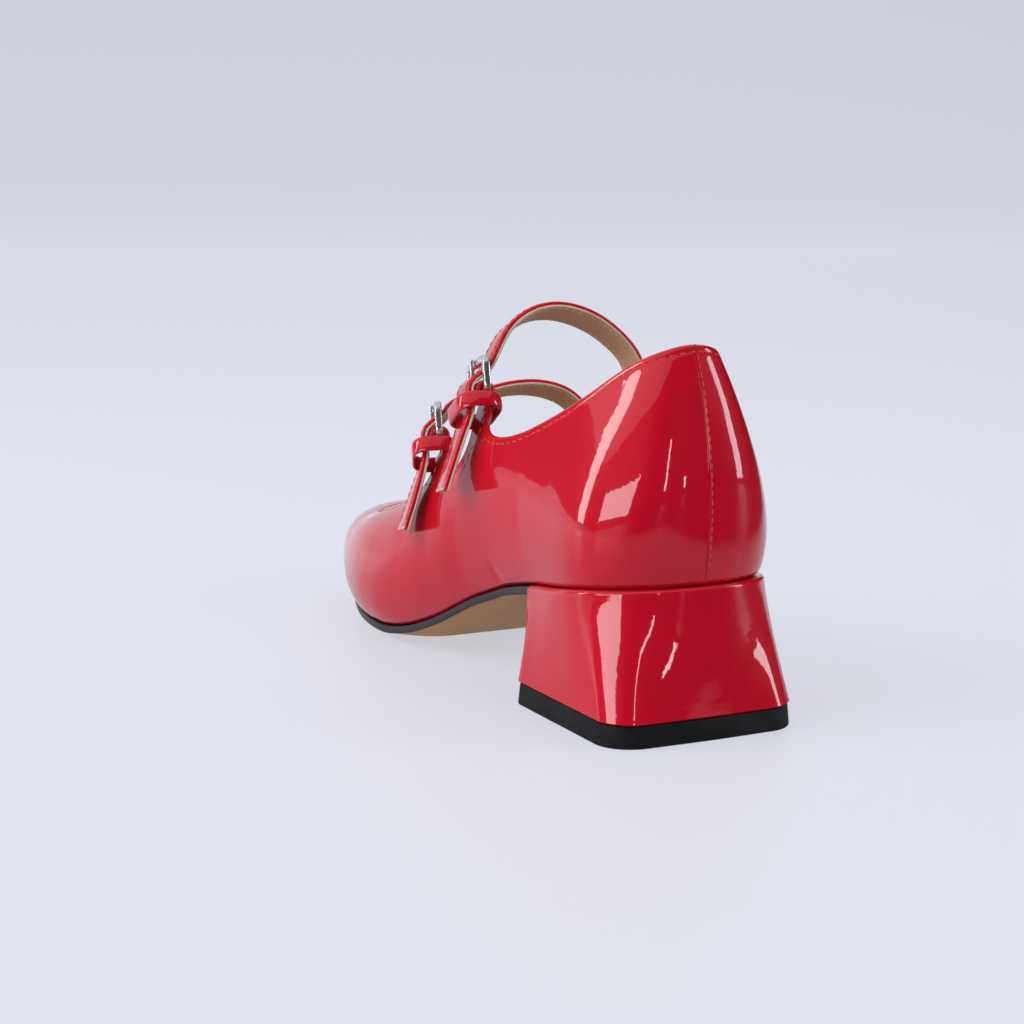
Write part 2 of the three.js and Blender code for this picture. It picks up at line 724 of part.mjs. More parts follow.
// Half outline of a rounded rectangle from the middle of its rear edge to its front corner
function halfRectangle(width, depth, rearRadius, frontRadius, inset, count, side) {
  const path = new THREE.CurvePath();
  const w = width / 2 - inset;
  const r = rearRadius - inset;
  const f = frontRadius - inset;
  const pull = 0.17;
  const rear = inset;
  const front = depth - inset;
  const line = (x1, y1, x2, y2) => path.add(new THREE.LineCurve3(vec(x1, y1, 0), vec(x2, y2, 0)));
  line(0, rear, w - r, rear);
  path.add(new THREE.QuadraticBezierCurve3(vec(w - r, rear, 0), vec(w - pull * r, rear + pull * r, 0),
    vec(w, rear + r, 0)));
  line(w, rear + r, w, front - f);
  path.add(new THREE.QuadraticBezierCurve3(vec(w, front - f, 0), vec(w - pull * f, front - pull * f, 0),
    vec(w - f, front, 0)));
  const points = [];
  for (let i = 0; i <= count; i += 1) {
    const p = path.getPoint(i / count);
    const bow = heelBow * (p.x / w) ** 1.5 * (1 - p.y / depth);
    points.push(vec(p.x * side, p.y + bow, 0));
  }
  return points;
}

function heelTopHalf(inset, innerSide) {
  const end = uForY(breastAtSeat - breastOverlap, innerSide);
  const start = innerSide ? 1 : 0;
  const points = [];
  for (let i = 0; i <= heelCount; i += 1) {
    points.push(footPoint(start + (end - start) * i / heelCount, inset));
  }
  points[heelCount].y = breastAtSeat;
  return points;
}

function heelBlock() {
  const seat = onHeight((x, y) => seatHeight(y) - clearance);
  const lowered = (drop) => onHeight((x, y) => seatHeight(y) - clearance - drop);
  const edgeOf = (lefts, rights, level) => {
    const frame = ladder(lefts, rights, plateColumns, (point) => point);
    return frame.edge.map((i) => level(frame.points[i]));
  };
  const inner = -heelRimProud + heelRimRound;
  const top = ladder(heelTopHalf(inner, false), heelTopHalf(inner, true), plateColumns, seat);
  const loops = [];
  heelRim.forEach(({ inset, drop }) => {
    const out = -heelRimProud + inset * heelRimRound;
    loops.push(edgeOf(heelTopHalf(out, false), heelTopHalf(out, true), lowered(drop)));
  });
  const rim = loops[loops.length - 1];
  const floor = liftHeight + clearance;
  const half = (side) => halfRectangle(heelWidth, heelDepth, heelCornerRear, heelCornerFront, 0,
    heelCount, side);
  const level = onHeight(() => floor);
  const bottom = ladder(half(-1), half(1), plateColumns, level);
  const base = bottom.edge.map((i) => bottom.points[i]);
  heelWallLevels.forEach((t) => {
    const flare = t ** heelFlarePower;
    loops.push(rim.map((point, i) => {
      const spot = mix(point, base[i], flare);
      spot.z = point.z + (base[i].z - point.z) * t;
      return spot;
    }));
  });
  return stackedSolid(top, loops, bottom);
}

function heelLift() {
  const half = (inset, side) => halfRectangle(heelWidth, heelDepth, heelCornerRear, heelCornerFront,
    inset, heelCount, side);
  const top = ladder(half(liftFlare, -1), half(liftFlare, 1), plateColumns, onHeight(() => liftHeight));
  const bottom = ladder(half(0, -1), half(0, 1), plateColumns, onHeight(() => 0));
  return stackedSolid(top, [], bottom);
}

// Ring between two rounded loops in a fastening's frame, thick along one direction
function loopBand(outline, thickness, place) {
  const { halfX, halfY, radius, depth, bevel } = outline;
  const ringLoop = (grow, z, shrink) => {
    const r = radius + grow - shrink;
    const x = halfX + grow - shrink;
    const y = halfY + grow - shrink;
    const loop = [];
    [[1, 1], [-1, 1], [-1, -1], [1, -1]].forEach(([sx, sy], quadrant) => {
      for (let k = 0; k <= cornerSteps; k += 1) {
        const angle = Math.PI / 2 * (quadrant + k / cornerSteps);
        loop.push(place(sx * (x - r) + r * Math.cos(angle), sy * (y - r) + r * Math.sin(angle), z));
      }
    });
    return loop;
  };
  const half = depth / 2;
  const loops = [
    ringLoop(0, -half + bevel, 0), ringLoop(0, half - bevel, 0), ringLoop(0, half, -bevel),
    ringLoop(thickness, half, bevel), ringLoop(thickness, half - bevel, 0),
    ringLoop(thickness, -half + bevel, 0), ringLoop(thickness, -half, bevel), ringLoop(0, -half, -bevel),
  ];
  const points = loops.flat();
  const n = loops[0].length;
  const faces = [];
  loops.forEach((_, i) => {
    const a = i * n;
    const b = ((i + 1) % loops.length) * n;
    for (let k = 0; k < n; k += 1) {
      const l = (k + 1) % n;
      faces.push(a + k, b + k, b + l, a + k, b + l, a + l);
    }
  });
  return meshFrom(points, faces);
}

function buckleFrame(frame) {
  const inner = { halfX: frameWidth / 2 - barWidth, halfY: frameLength / 2 - barWidth, radius: frameCorner,
    depth: frameDepth, bevel: frameBevel };
  return loopBand(inner, barWidth, (w, a, n) => frame.at(-w, a, n));
}

// Sewn end of a strap, lying against the inner side's wall from below the topline
const anchorGap = 0.9;
function strapAnchor(item) {
  const u = bisect(toeKnot, 1, (v) => column.topY(v) > item.anchorY);
  const step = 1e-3;
  const depth = wall + clearance + anchorGap + strapThickness / 2;
  return anchorLevels.map((level) => {
    const curve = wallCurve(u);
    const along = wallCurve(u - step).getPoint(level).sub(wallCurve(u + step).getPoint(level));
    const normal = along.clone().cross(curve.getTangent(level)).normalize();
    return { point: curve.getPoint(level).addScaledVector(normal, -depth), across: along.normalize() };
  });
}

function strapStations(item) {
  const frame = fasteningFrame(item);
  const places = strapAnchor(item);
  strapRuns[item.name].forEach((spot) => {
    const angle = THREE.MathUtils.degToRad(spot.lean);
    places.push({ point: vec(spot.x, spot.y, spot.z),
      across: vec(Math.tan(THREE.MathUtils.degToRad(spot.veer)), Math.cos(angle), -Math.sin(angle)) });
  });
  buckleCourse.forEach((spot) => {
    places.push({ point: frame.at(0, spot.rise, spot.out), across: frame.across });
  });
  const tailStart = places[places.length - 1].point;
  const tailWay = vec(...item.tail).normalize();
  tailStops.forEach((share) => {
    places.push({ point: tailStart.clone().addScaledVector(tailWay, share * item.tailLength),
      across: vec(...tailAcross) });
  });
  return stationsThrough(places, strapStops);
}

function strap(item) {
  const frame = fasteningFrame(item);
  const band = toManifold(sweptBand(strapStations(item), strapWidth, strapThickness));
  const hole = new THREE.CylinderGeometry(prongRadius + clearance, prongRadius + clearance,
    strapWidth, roundSides);
  hole.applyMatrix4(new THREE.Matrix4().makeBasis(frame.out, frame.rise, frame.across)
    .setPosition(frame.at(0, 0, prongLine)));
  return fromManifold(band.subtract(toManifold(hole)));
}

// Keeper loop round the tab and the strap below the buckle, its rear edge tipped up
function keeper(item) {
  const frame = fasteningFrame(item);
  const tilt = THREE.MathUtils.degToRad(keeperTilt);
  const outline = { halfX: strapWidth / 2 + keeperRoom, halfY: keeperHalfDepth, radius: keeperCorner,
    depth: keeperBand, bevel: keeperBevel };
  return loopBand(outline, keeperThickness,
    (w, out, along) => frame.at(w * Math.cos(tilt) + along * Math.sin(tilt),
      keeperMiddle.rise + along * Math.cos(tilt) - w * Math.sin(tilt), keeperMiddle.out + out));
}

// Prong: an eye round the lower bar and a pin that rests on the far bar
const prongLine = frameDepth / 2 + clearance / 2 + prongRadius;
function prong(item) {
  const frame = fasteningFrame(item);
  const seat = new THREE.Matrix4().makeBasis(frame.rise, frame.across, frame.out)
    .setPosition(frame.at(0, lowerBar, 0));
  const drum = (radius, width) => toManifold(new THREE.CylinderGeometry(radius, radius, width, 2 * roundSides)
    .applyMatrix4(seat));
  const eye = drum(eyeOuter, eyeWidth).subtract(drum(eyeInner, eyeWidth * 2));
  const pinLength = frameLength - barWidth / 2 - pinTipGap;
  const pin = new THREE.CylinderGeometry(prongRadius, prongRadius, pinLength, roundSides);
  const stand = new THREE.Matrix4().makeBasis(frame.out, frame.rise, frame.across)
    .setPosition(frame.at(0, lowerBar + pinRoot + pinLength / 2, prongLine + prongTilt));
  pin.applyMatrix4(stand);
  return fromManifold(eye.add(toManifold(pin)));
}

const paints = {
  patent: { color: 0xd3121f, roughness: 0.15 },
  rubber: { color: 0x17171a, roughness: 0.7 },
  tan: { color: 0xc9a57c, roughness: 0.6 },
  edge: { color: 0x2a2526, roughness: 0.6 },
  chrome: { color: 0xd9dcdf, roughness: 0.15, metalness: 1 },
};

function named(name, geometry, paint) {
  geometry.computeVertexNormals();
  const mesh = new THREE.Mesh(geometry, new THREE.MeshStandardMaterial({ ...paint, name: `${name}_finish` }));
  mesh.name = name;
  mesh.geometry.translate(0, -heelDepth / 2, 0);
  return mesh;
}

const shoe = new THREE.Group();
shoe.name = 'mary_jane_shoe';
shoe.add(named('upper', upperSolid(), paints.patent));
shoe.add(named('outsole', outsole(), paints.edge));
shoe.add(named('insole', insole(), paints.tan));
shoe.add(named('heel_block', heelBlock(), paints.patent));
shoe.add(named('heel_lift', heelLift(), paints.rubber));
fastenings.forEach((item) => {
  const frame = fasteningFrame(item);
  shoe.add(named(`strap_${item.name}`, strap(item), paints.patent));
  shoe.add(named(`keeper_${item.name}`, keeper(item), paints.patent));
  shoe.add(named(`buckle_frame_${item.name}`, buckleFrame(frame), paints.chrome));
  shoe.add(named(`buckle_prong_${item.name}`, prong(item), paints.chrome));
});

export default shoe;
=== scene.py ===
import logging
import math
from dataclasses import dataclass, field
from enum import Enum
from typing import NamedTuple

import bpy
import numpy as np
from mathutils import Euler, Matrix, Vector


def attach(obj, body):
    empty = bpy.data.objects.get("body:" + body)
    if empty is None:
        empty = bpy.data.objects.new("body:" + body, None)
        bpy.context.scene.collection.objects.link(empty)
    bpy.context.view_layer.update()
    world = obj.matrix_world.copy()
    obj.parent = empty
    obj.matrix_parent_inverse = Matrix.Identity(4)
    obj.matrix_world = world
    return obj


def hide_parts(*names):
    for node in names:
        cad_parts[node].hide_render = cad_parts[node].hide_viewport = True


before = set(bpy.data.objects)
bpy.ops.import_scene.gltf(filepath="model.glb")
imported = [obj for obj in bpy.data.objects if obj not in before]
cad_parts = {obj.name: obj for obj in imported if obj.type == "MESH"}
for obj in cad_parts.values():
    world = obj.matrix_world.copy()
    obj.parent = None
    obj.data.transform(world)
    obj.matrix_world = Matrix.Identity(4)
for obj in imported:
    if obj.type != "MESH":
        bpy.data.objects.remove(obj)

Array = np.ndarray
Triple = tuple[float, float, float]
Piece = bpy.types.Object
Material = bpy.types.Material
Node = bpy.types.Node
Socket = bpy.types.NodeSocket
LOG = logging.getLogger("mary_jane_shoe")


# Sizes in metres of the left shoe: toe along +Y, inner side along +X, measured from the rear
# edge of the heel base; every mesh is moved back by half the heel's depth when it is made
@dataclass(frozen=True)
class ShoeSizes:
    """Main sizes that the sub-assemblies share."""

    length: float = 0.234
    half_ball: float = 0.042
    back_height: float = 0.103
    wall: float = 0.0018
    clearance: float = 0.0003
    margin: float = 0.0066
    corner: float = 0.0021
    outsole: float = 0.0024
    outsole_proud: float = 0.0004
    heel_width: float = 0.058
    heel_depth: float = 0.0575
    breast: float = 0.0555
    lift: float = 0.006
    strap_width: float = 0.011
    strap_thickness: float = 0.0021
    frame_width: float = 0.0164
    frame_length: float = 0.0114
    frame_depth: float = 0.0018
    bar: float = 0.0022

    @property
    def fold_radius(self) -> float:
        """Radius at which a tab turns round its buckle's lower bar."""
        return self.bar / 2 + self.clearance + self.wall / 2

    @property
    def lower_bar(self) -> float:
        """Place of the lower bar along the buckle's rise."""
        return -(self.frame_length - self.bar) / 2


SIZES = ShoeSizes()


class Section(NamedTuple):
    """One section of the upper: sideways columns are shares of the half ball width, lengthways
    ones shares of the length, upright ones shares of the back height."""

    at: str
    foot_x: float
    foot_y: float
    top_x: float
    top_y: float
    top_z: float
    low_out: float
    low_up: float
    high_out: float
    high_down: float


SECTIONS: tuple[Section, ...] = (
    Section("heelBack", 0.000, 0.0188, 0.000, 0.0513, 1.000, 0.090, 0.169, 0.248, 0.194),
    Section("heelCornerOut", -0.345, 0.0325, -0.181, 0.0581, 0.986, 0.129, 0.171, 0.226, 0.184),
    Section("heelSideOut", -0.590, 0.0748, -0.305, 0.0919, 0.947, 0.157, 0.175, 0.190, 0.175),
    Section("seatOut", -0.643, 0.1453, -0.460, 0.1453, 0.860, 0.138, 0.175, 0.155, 0.155),
    Section("breastOut", -0.586, 0.2308, -0.586, 0.2308, 0.759, 0.152, 0.136, 0.119, 0.136),
    Section("shankOut", -0.567, 0.3077, -0.648, 0.2821, 0.717, 0.167, 0.117, 0.107, 0.117),
    Section("rearTab", -0.595, 0.3889, -0.681, 0.3654, 0.670, 0.171, 0.117, 0.114, 0.117),
    Section("tabNotch", -0.643, 0.4658, -0.714, 0.4274, 0.563, 0.190, 0.107, 0.110, 0.107),
    Section("frontTab", -0.702, 0.5427, -0.705, 0.4808, 0.529, 0.229, 0.097, 0.133, 0.107),
    Section("jointOut", -0.771, 0.6325, -0.638, 0.5897, 0.440, 0.252, 0.087, 0.226, 0.073),
    Section("smallToes", -0.710, 0.7222, -0.555, 0.6902, 0.377, 0.219, 0.087, 0.262, 0.037),
    Section("outerToe", -0.543, 0.8205, -0.417, 0.7628, 0.338, 0.190, 0.097, 0.298, 0.016),
    Section("toeCornerOut", -0.276, 0.9154, -0.214, 0.8034, 0.334, 0.205, 0.117, 0.429, 0.008),
    Section("toeTip", 0.119, 0.9744, 0.071, 0.8162, 0.337, 0.214, 0.117, 0.548, 0.005),
    Section("toeCornerIn", 0.500, 0.9316, 0.321, 0.7970, 0.334, 0.205, 0.107, 0.429, 0.008),
    Section("bigToe", 0.738, 0.8376, 0.507, 0.7393, 0.352, 0.167, 0.087, 0.310, 0.021),
    Section("jointIn", 0.821, 0.7350, 0.626, 0.6581, 0.401, 0.176, 0.078, 0.262, 0.049),
    Section("ballIn", 0.750, 0.6239, 0.714, 0.5556, 0.461, 0.190, 0.097, 0.179, 0.078),
    Section("archIn", 0.548, 0.5043, 0.745, 0.4530, 0.539, 0.226, 0.117, 0.119, 0.107),
    Section("waistIn", 0.448, 0.3932, 0.738, 0.3590, 0.626, 0.250, 0.126, 0.100, 0.117),
    Section("shankIn", 0.488, 0.2821, 0.655, 0.2650, 0.717, 0.214, 0.136, 0.107, 0.126),
    Section("seatIn", 0.626, 0.1795, 0.531, 0.1880, 0.809, 0.131, 0.155, 0.131, 0.146),
    Section("heelSideIn", 0.590, 0.0748, 0.305, 0.0919, 0.947, 0.157, 0.175, 0.190, 0.175),
    Section("heelCornerIn", 0.345, 0.0325, 0.181, 0.0581, 0.986, 0.129, 0.171, 0.226, 0.184),
)


class RimSpot(NamedTuple):
    """Height of the outsole's lower rim: shares of the length and of the back height."""

    along: float
    height: float


LOWER_RIM: tuple[RimSpot, ...] = (
    RimSpot(0.0000, 0.3720), RimSpot(0.0855, 0.3520), RimSpot(0.1709, 0.3214),
    RimSpot(0.2393, 0.2971), RimSpot(0.3162, 0.2602), RimSpot(0.3547, 0.2311),
    RimSpot(0.3974, 0.1961), RimSpot(0.4359, 0.1573), RimSpot(0.4744, 0.1165),
    RimSpot(0.5214, 0.0738), RimSpot(0.5556, 0.0485), RimSpot(0.5897, 0.0311),
    RimSpot(0.6239, 0.0228), RimSpot(0.7094, 0.0228), RimSpot(0.7607, 0.0272),
    RimSpot(0.8205, 0.0388), RimSpot(0.8974, 0.0641), RimSpot(1.0000, 0.1019),
)


class StrapSpot(NamedTuple):
    """Middle of a strap in metres; lean is the fall of its front edge and veer its turn
    inwards, in degrees."""

    x: float
    y: float
    z: float
    lean: float
    veer: float


class CourseSpot(NamedTuple):
    """Strap course beside its buckle: metres along the rise and out of the frame's plane."""

    rise: float
    out: float


COURSE: tuple[CourseSpot, ...] = (
    CourseSpot(0.0050, -0.0035), CourseSpot(0.0029, -0.0026), CourseSpot(0.0009, 0.0),
    CourseSpot(-0.0012, 0.00285), CourseSpot(-0.0027, 0.0040), CourseSpot(-0.0046, 0.0045),
    CourseSpot(-0.0066, 0.00435), CourseSpot(-0.0088, 0.0043), CourseSpot(-0.0110, 0.0046),
)


class Crease(NamedTuple):
    """Soft trough in the upper's wall: place along the loop and up the wall, half lengths
    along and up in metres, turn in degrees, depth in metres (negative stands proud)."""

    at: str
    around: float
    height: float
    half_long: float
    half_wide: float
    turn: float
    depth: float


CREASES: tuple[Crease, ...] = (
    Crease("by the breast", 0.172, 0.10, 0.0050, 0.0016, 62.0, 0.00045),
    Crease("shank roll", 0.215, 0.34, 0.0160, 0.0060, 78.0, 0.00030),
    Crease("waist roll", 0.250, 0.42, 0.0170, 0.0055, 70.0, 0.00026),
    Crease("waist ridge", 0.233, 0.38, 0.0170, 0.0060, 74.0, -0.00026),
    Crease("joint break", 0.330, 0.66, 0.0120, 0.0030, 15.0, 0.00024),
    Crease("joint break low", 0.338, 0.50, 0.0110, 0.0028, 8.0, 0.00018),
    Crease("inner joint break", 0.700, 0.62, 0.0120, 0.0030, -12.0, 0.00022),
    Crease("inner waist roll", 0.815, 0.40, 0.0160, 0.0060, -72.0, 0.00026),
    Crease("counter edge", 0.135, 0.45, 0.0190, 0.0035, 84.0, 0.00016),
    Crease("inner counter edge", 0.868, 0.45, 0.0190, 0.0035, -84.0, 0.00016),
    Crease("box toe edge", 0.440, 0.70, 0.0140, 0.0040, 20.0, 0.00014),
)


class Role(Enum):
    """Places of the record, one for each kind of finish."""

    PATENT = "patent_leather"
    COVER = "patent_cover"
    SOLE = "sole_leather"
    LINING = "lining_leather"
    RUBBER = "rubber"
    CHROME = "chrome"


def unit(vectors: Array) -> Array:
    """Vectors divided by their own lengths."""
    return vectors / np.maximum(np.linalg.norm(vectors, axis=-1, keepdims=True), 1e-12)


def smooth(share: Array) -> Array:
    """Smooth step: three squares less two cubes of a share held between 0 and 1."""
    held = np.clip(share, 0.0, 1.0)
    return held * held * (3 - 2 * held)


def lengths_along(points: Array) -> Array:
    """Distance travelled along a line of points, from 0 at its first."""
    steps = np.linalg.norm(np.diff(points, axis=0), axis=1)
    return np.concatenate([[0.0], np.cumsum(steps)])


class ClosedSpline:
    """Closed cubic spline over loop places 0..1: between two knots a value is the blend of
    both ends plus the cubic part of their second derivatives."""

    def __init__(self, knots: Array, values: Array) -> None:
        """Solves the second derivatives.

        Args:
            knots: Rising places of the values, the first 0, the period 1.
            values: Value at each knot.
        """
        count = len(knots)
        self.knots = knots
        self.values = values
        self.gap = np.diff(np.append(knots, 1.0))
        before = np.roll(self.gap, 1)
        index = np.arange(count)
        matrix = np.zeros((count, count))
        matrix[index, (index - 1) % count] += before / 6
        matrix[index, index] += (before + self.gap) / 3
        matrix[index, (index + 1) % count] += self.gap / 6
        slope = (np.roll(values, -1) - values) / self.gap
        self.second = np.linalg.solve(matrix, slope - np.roll(slope, 1))

    def __call__(self, around: Array) -> Array:
        """Values at loop places."""
        held = np.mod(around, 1.0)
        i = np.searchsorted(self.knots, held, side="right") - 1
        j = (i + 1) % len(self.knots)
        b = (held - self.knots[i]) / self.gap[i]
        a = 1 - b
        bend = (a**3 - a) * self.second[i] + (b**3 - b) * self.second[j]
        return a * self.values[i] + b * self.values[j] + bend * self.gap[i] ** 2 / 6


def rim_height(y: Array) -> Array:
    """Height of the outsole's lower rim: a cubic through the table whose slope at a row is
    the harmonic mean of its neighbours, or level where they change sign."""
    xs = np.array([spot.along for spot in LOWER_RIM])
    ys = np.array([spot.height for spot in LOWER_RIM])
    slopes = np.diff(ys) / np.diff(xs)
    product = slopes[:-1] * slopes[1:]
    total = np.where(product > 0, slopes[:-1] + slopes[1:], 1.0)
    inner = np.where(product > 0, 2 * product / total, 0.0)
    tangents = np.concatenate([[slopes[0]], inner, [slopes[-1]]])
    share = np.clip(np.asarray(y) / SIZES.length, 0.0, 1.0)
    i = np.clip(np.searchsorted(xs, share, side="right") - 1, 0, len(xs) - 2)
    span = xs[i + 1] - xs[i]
    t = (share - xs[i]) / span
    value = (2 * t**3 - 3 * t**2 + 1) * ys[i] + (t**3 - 2 * t**2 + t) * span * tangents[i]
    value = value + (3 * t**2 - 2 * t**3) * ys[i + 1] + (t**3 - t**2) * span * tangents[i + 1]
    return value * SIZES.back_height


def seat_height(y: Array) -> Array:
    """Height of the upper's feather edge above the floor."""
    return rim_height(y) + SIZES.outsole + SIZES.clearance


@dataclass(frozen=True)
class Fastening:
    """One buckle: the middle of its frame, its width and rise directions and the strap that
    runs through it, in metres."""

    name: str
    middle: Triple
    across: Triple
    rise: Triple
    tail: Triple
    tail_length: float
    rear_flare: float
    front_flare: float
    root: str
    anchor_y: float
    run: tuple[StrapSpot, ...]

    def axes(self) -> tuple[Array, Array, Array]:
        """Directions across the strap, up along it and outwards, at right angles."""
        across = unit(np.array(self.across))
        rise = np.array(self.rise)
        rise = unit(rise - across * (rise @ across))
        return across, rise, unit(np.cross(rise, across))

    def at(self, across: Array, rise: Array, out: Array) -> Array:
        """Points at given distances along the fastening's three directions.

        Args:
            across: Distances along the strap's width.
            rise: Distances up along the strap.
            out: Distances outwards from the frame's middle plane.

        Returns:
            Points, one row each.
        """
        way_w, way_a, way_n = self.axes()
        across, rise, out = np.broadcast_arrays(across, rise, out)
        offset = across[..., None] * way_w + rise[..., None] * way_a + out[..., None] * way_n
        return np.array(self.middle) + offset


FASTENINGS: tuple[Fastening, ...] = (
    Fastening(
        name="rear", middle=(-0.0246, 0.0903, 0.0872), across=(0.08, 0.94, -0.34),
        rise=(0.08, 0.33, 0.94), tail=(-0.38, -0.12, -0.90), tail_length=0.0223,
        rear_flare=0.014, front_flare=0.006, root="rearTab", anchor_y=0.090,
        run=(
            StrapSpot(0.0284, 0.0900, 0.0805, 8, 0), StrapSpot(0.0251, 0.0900, 0.0906, 14, 0),
            StrapSpot(0.0199, 0.0900, 0.0966, 20, 0), StrapSpot(0.0112, 0.0900, 0.1026, 25, 0),
            StrapSpot(0.0005, 0.0900, 0.1060, 25.5, 0), StrapSpot(-0.0078, 0.0900, 0.1055, 25, 0),
            StrapSpot(-0.0142, 0.0903, 0.1023, 24, 2), StrapSpot(-0.0180, 0.0908, 0.0980, 22, 4),
        ),
    ),
    Fastening(
        name="front", middle=(-0.0249, 0.1182, 0.0710), across=(0.36, 0.87, -0.34),
        rise=(0.10, 0.35, 0.93), tail=(-0.38, -0.12, -0.92), tail_length=0.0214,
        rear_flare=0.006, front_flare=0.013, root="frontTab", anchor_y=0.119,
        run=(
            StrapSpot(0.0266, 0.1190, 0.0665, 12, 0), StrapSpot(0.0224, 0.1196, 0.0736, 18, 0),
            StrapSpot(0.0164, 0.1200, 0.0780, 23, 0), StrapSpot(0.0070, 0.1200, 0.0804, 25, 0),
            StrapSpot(-0.0030, 0.1200, 0.0801, 25, 4), StrapSpot(-0.0110, 0.1202, 0.0782, 24, 12),
            StrapSpot(-0.0168, 0.1194, 0.0768, 22, 22),
        ),
    ),
)


class Tab(NamedTuple):
    """Strip of the upper that rises from the topline to one buckle."""

    fastening: Fastening
    root: Array
    root_at: float
    reach: float
    direction: Array


class UpperForm:
    """The upper as one function of the loop place (0 at the back, running down the outer side
    to the toe and home along the inner side) and of the height up the wall."""

    tab_bell: float = 0.008
    tab_sweep: float = 0.007
    tab_land: float = 0.001
    tab_search: float = 0.1
    tab_slack: float = 1e-7

    def __init__(self) -> None:
        """Solves the columns of the section table as closed splines."""
        rows = np.array([row[1:] for row in SECTIONS])
        ball, long, high = SIZES.half_ball, SIZES.length, SIZES.back_height
        rows = rows * np.array([ball, long, ball, long, high, ball, high, ball, high])
        after = np.roll(rows, -1, axis=0)
        foot = np.hypot(*(after - rows)[:, 0:2].T)
        top = np.hypot(*(after - rows)[:, 2:4].T)
        travel = np.concatenate([[0.0], np.cumsum((foot + top) / 2)])
        self.knots = travel[:-1] / travel[-1]
        names = Section._fields[1:]
        self.column = {name: ClosedSpline(self.knots, rows[:, i]) for i, name in enumerate(names)}
        self.toe = self.knot("toeTip")
        self.tabs = [self._tab(item) for item in FASTENINGS]

    def knot(self, name: str) -> float:
        """Loop place of a named section."""
        return float(self.knots[[row.at for row in SECTIONS].index(name)])

    def _normal(self, x_of: ClosedSpline, y_of: ClosedSpline, around: Array) -> Array:
        """Outward direction in plan: the outline's direction turned by a right angle."""
        step = 1e-4
        dx = x_of(around + step) - x_of(around - step)
        dy = y_of(around + step) - y_of(around - step)
        return unit(np.stack([-dy, dx, np.zeros_like(dx)], axis=-1))

    def foot(self, around: Array, inset: Array | float) -> Array:
        """Feather edge moved inwards in plan by an inset, at the seat's height.

        Args:
            around: Loop places.
            inset: Distance inwards; it may differ from place to place.

        Returns:
            Points, one row each.
        """
        out = self._normal(self.column["foot_x"], self.column["foot_y"], around)
        x = self.column["foot_x"](around) - out[..., 0] * inset
        y = self.column["foot_y"](around) - out[..., 1] * inset
        return np.stack([x, y, seat_height(y)], axis=-1)

    def top(self, around: Array) -> Array:
        """Points of the plain topline."""
        return np.stack([self.column[key](around) for key in ("top_x", "top_y", "top_z")], axis=-1)

    def controls(self, around: Array) -> Array:
        """Four control points of each wall curve: the feather edge, a point out and up from
        it, a point out and down from the topline, and the topline."""
        foot = self.foot(around, 0.0)
        top = self.top(around)
        foot_out = self._normal(self.column["foot_x"], self.column["foot_y"], around)
        top_out = self._normal(self.column["top_x"], self.column["top_y"], around)
        low = foot + foot_out * self.column["low_out"](around)[..., None]
        low[..., 2] += self.column["low_up"](around)
        high = top + top_out * self.column["high_out"](around)[..., None]
        high[..., 2] -= self.column["high_down"](around)
        return np.stack([foot, low, high, top], axis=-2)

    def wall(self, around: Array, level: Array) -> Array:
        """Wall points: the cubic of each place's four control points at the given levels.

        Args:
            around: Loop places, one per row.
            level: Levels from 0 at the feather edge to 1 at the topline, a row per place.

        Returns:
            Points in an array of places by levels by 3.
        """
        c = self.controls(around)[:, None]
        t = level[..., None]
        s = 1 - t
        lower = s**3 * c[..., 0, :] + 3 * s**2 * t * c[..., 1, :]
        return lower + 3 * s * t**2 * c[..., 2, :] + t**3 * c[..., 3, :]

    def wall_length(self, around: Array) -> Array:
        """Length of the wall curve at each place."""
        levels = np.linspace(0, 1, 60)
        points = self.wall(around, np.broadcast_to(levels, (len(around), 60)))
        return np.linalg.norm(np.diff(points, axis=1), axis=2).sum(axis=1)

    def _tab(self, item: Fastening) -> Tab:
        """Straight way from the topline to the buckle's lower bar."""
        root_at = self.knot(item.root)
        root = self.top(np.array([root_at]))[0]
        out = np.float64(-(SIZES.fold_radius - SIZES.wall / 2))
        target = item.at(np.float64(0.0), np.float64(SIZES.lower_bar - self.tab_land), out)
        reach = float(np.linalg.norm(target - root))
        return Tab(item, root, root_at, reach, (target - root) / reach)

    def tab_offset(self, around: Array, tab: Tab) -> Array:
        """How far the topline lies in front of a tab's middle, measured across the tab."""
        here = self.top(around)
        across = tab.fastening.axes()[0]
        return (here[..., 1] - tab.root[1]) + (here[..., 2] - tab.root[2]) * across[2] / across[1]

    def around_for(self, tab: Tab, offsets: Array) -> Array:
        """Loop places where the topline lies at given offsets from a tab's middle."""
        dense = np.linspace(tab.root_at - self.tab_search, tab.root_at + self.tab_search, 6000)
        return np.interp(offsets, self.tab_offset(dense, tab), dense)

    def bell(self, around: Array, half: float) -> tuple[Array, Array]:
        """Rise of the topline beside the tabs: a level head with a quarter ellipse on either
        side.

        Args:
            around: Loop places.
            half: Half width of the level head.

        Returns:
            The rise at each place and the direction in which it goes.
        """
        rise = np.zeros_like(around)
        way = np.zeros(around.shape + (3,))
        for tab in self.tabs:
            offset = self.tab_offset(around, tab)
            beyond = np.abs(offset) - half
            flare = np.where(offset < 0, tab.fastening.rear_flare, tab.fastening.front_flare)
            x = np.clip(beyond / flare, 0.0, 1.0)
            side = self.tab_sweep * (1 - np.sqrt(np.maximum(1 - (1 - x) ** 2, 0.0)))
            own = np.where(beyond <= self.tab_slack, self.tab_bell, side)
            own = np.where(np.abs(around - tab.root_at) > self.tab_search, 0.0, own)
            better = own > rise
            rise = np.where(better, own, rise)
            way = np.where(better[..., None], tab.direction, way)
        return rise, way

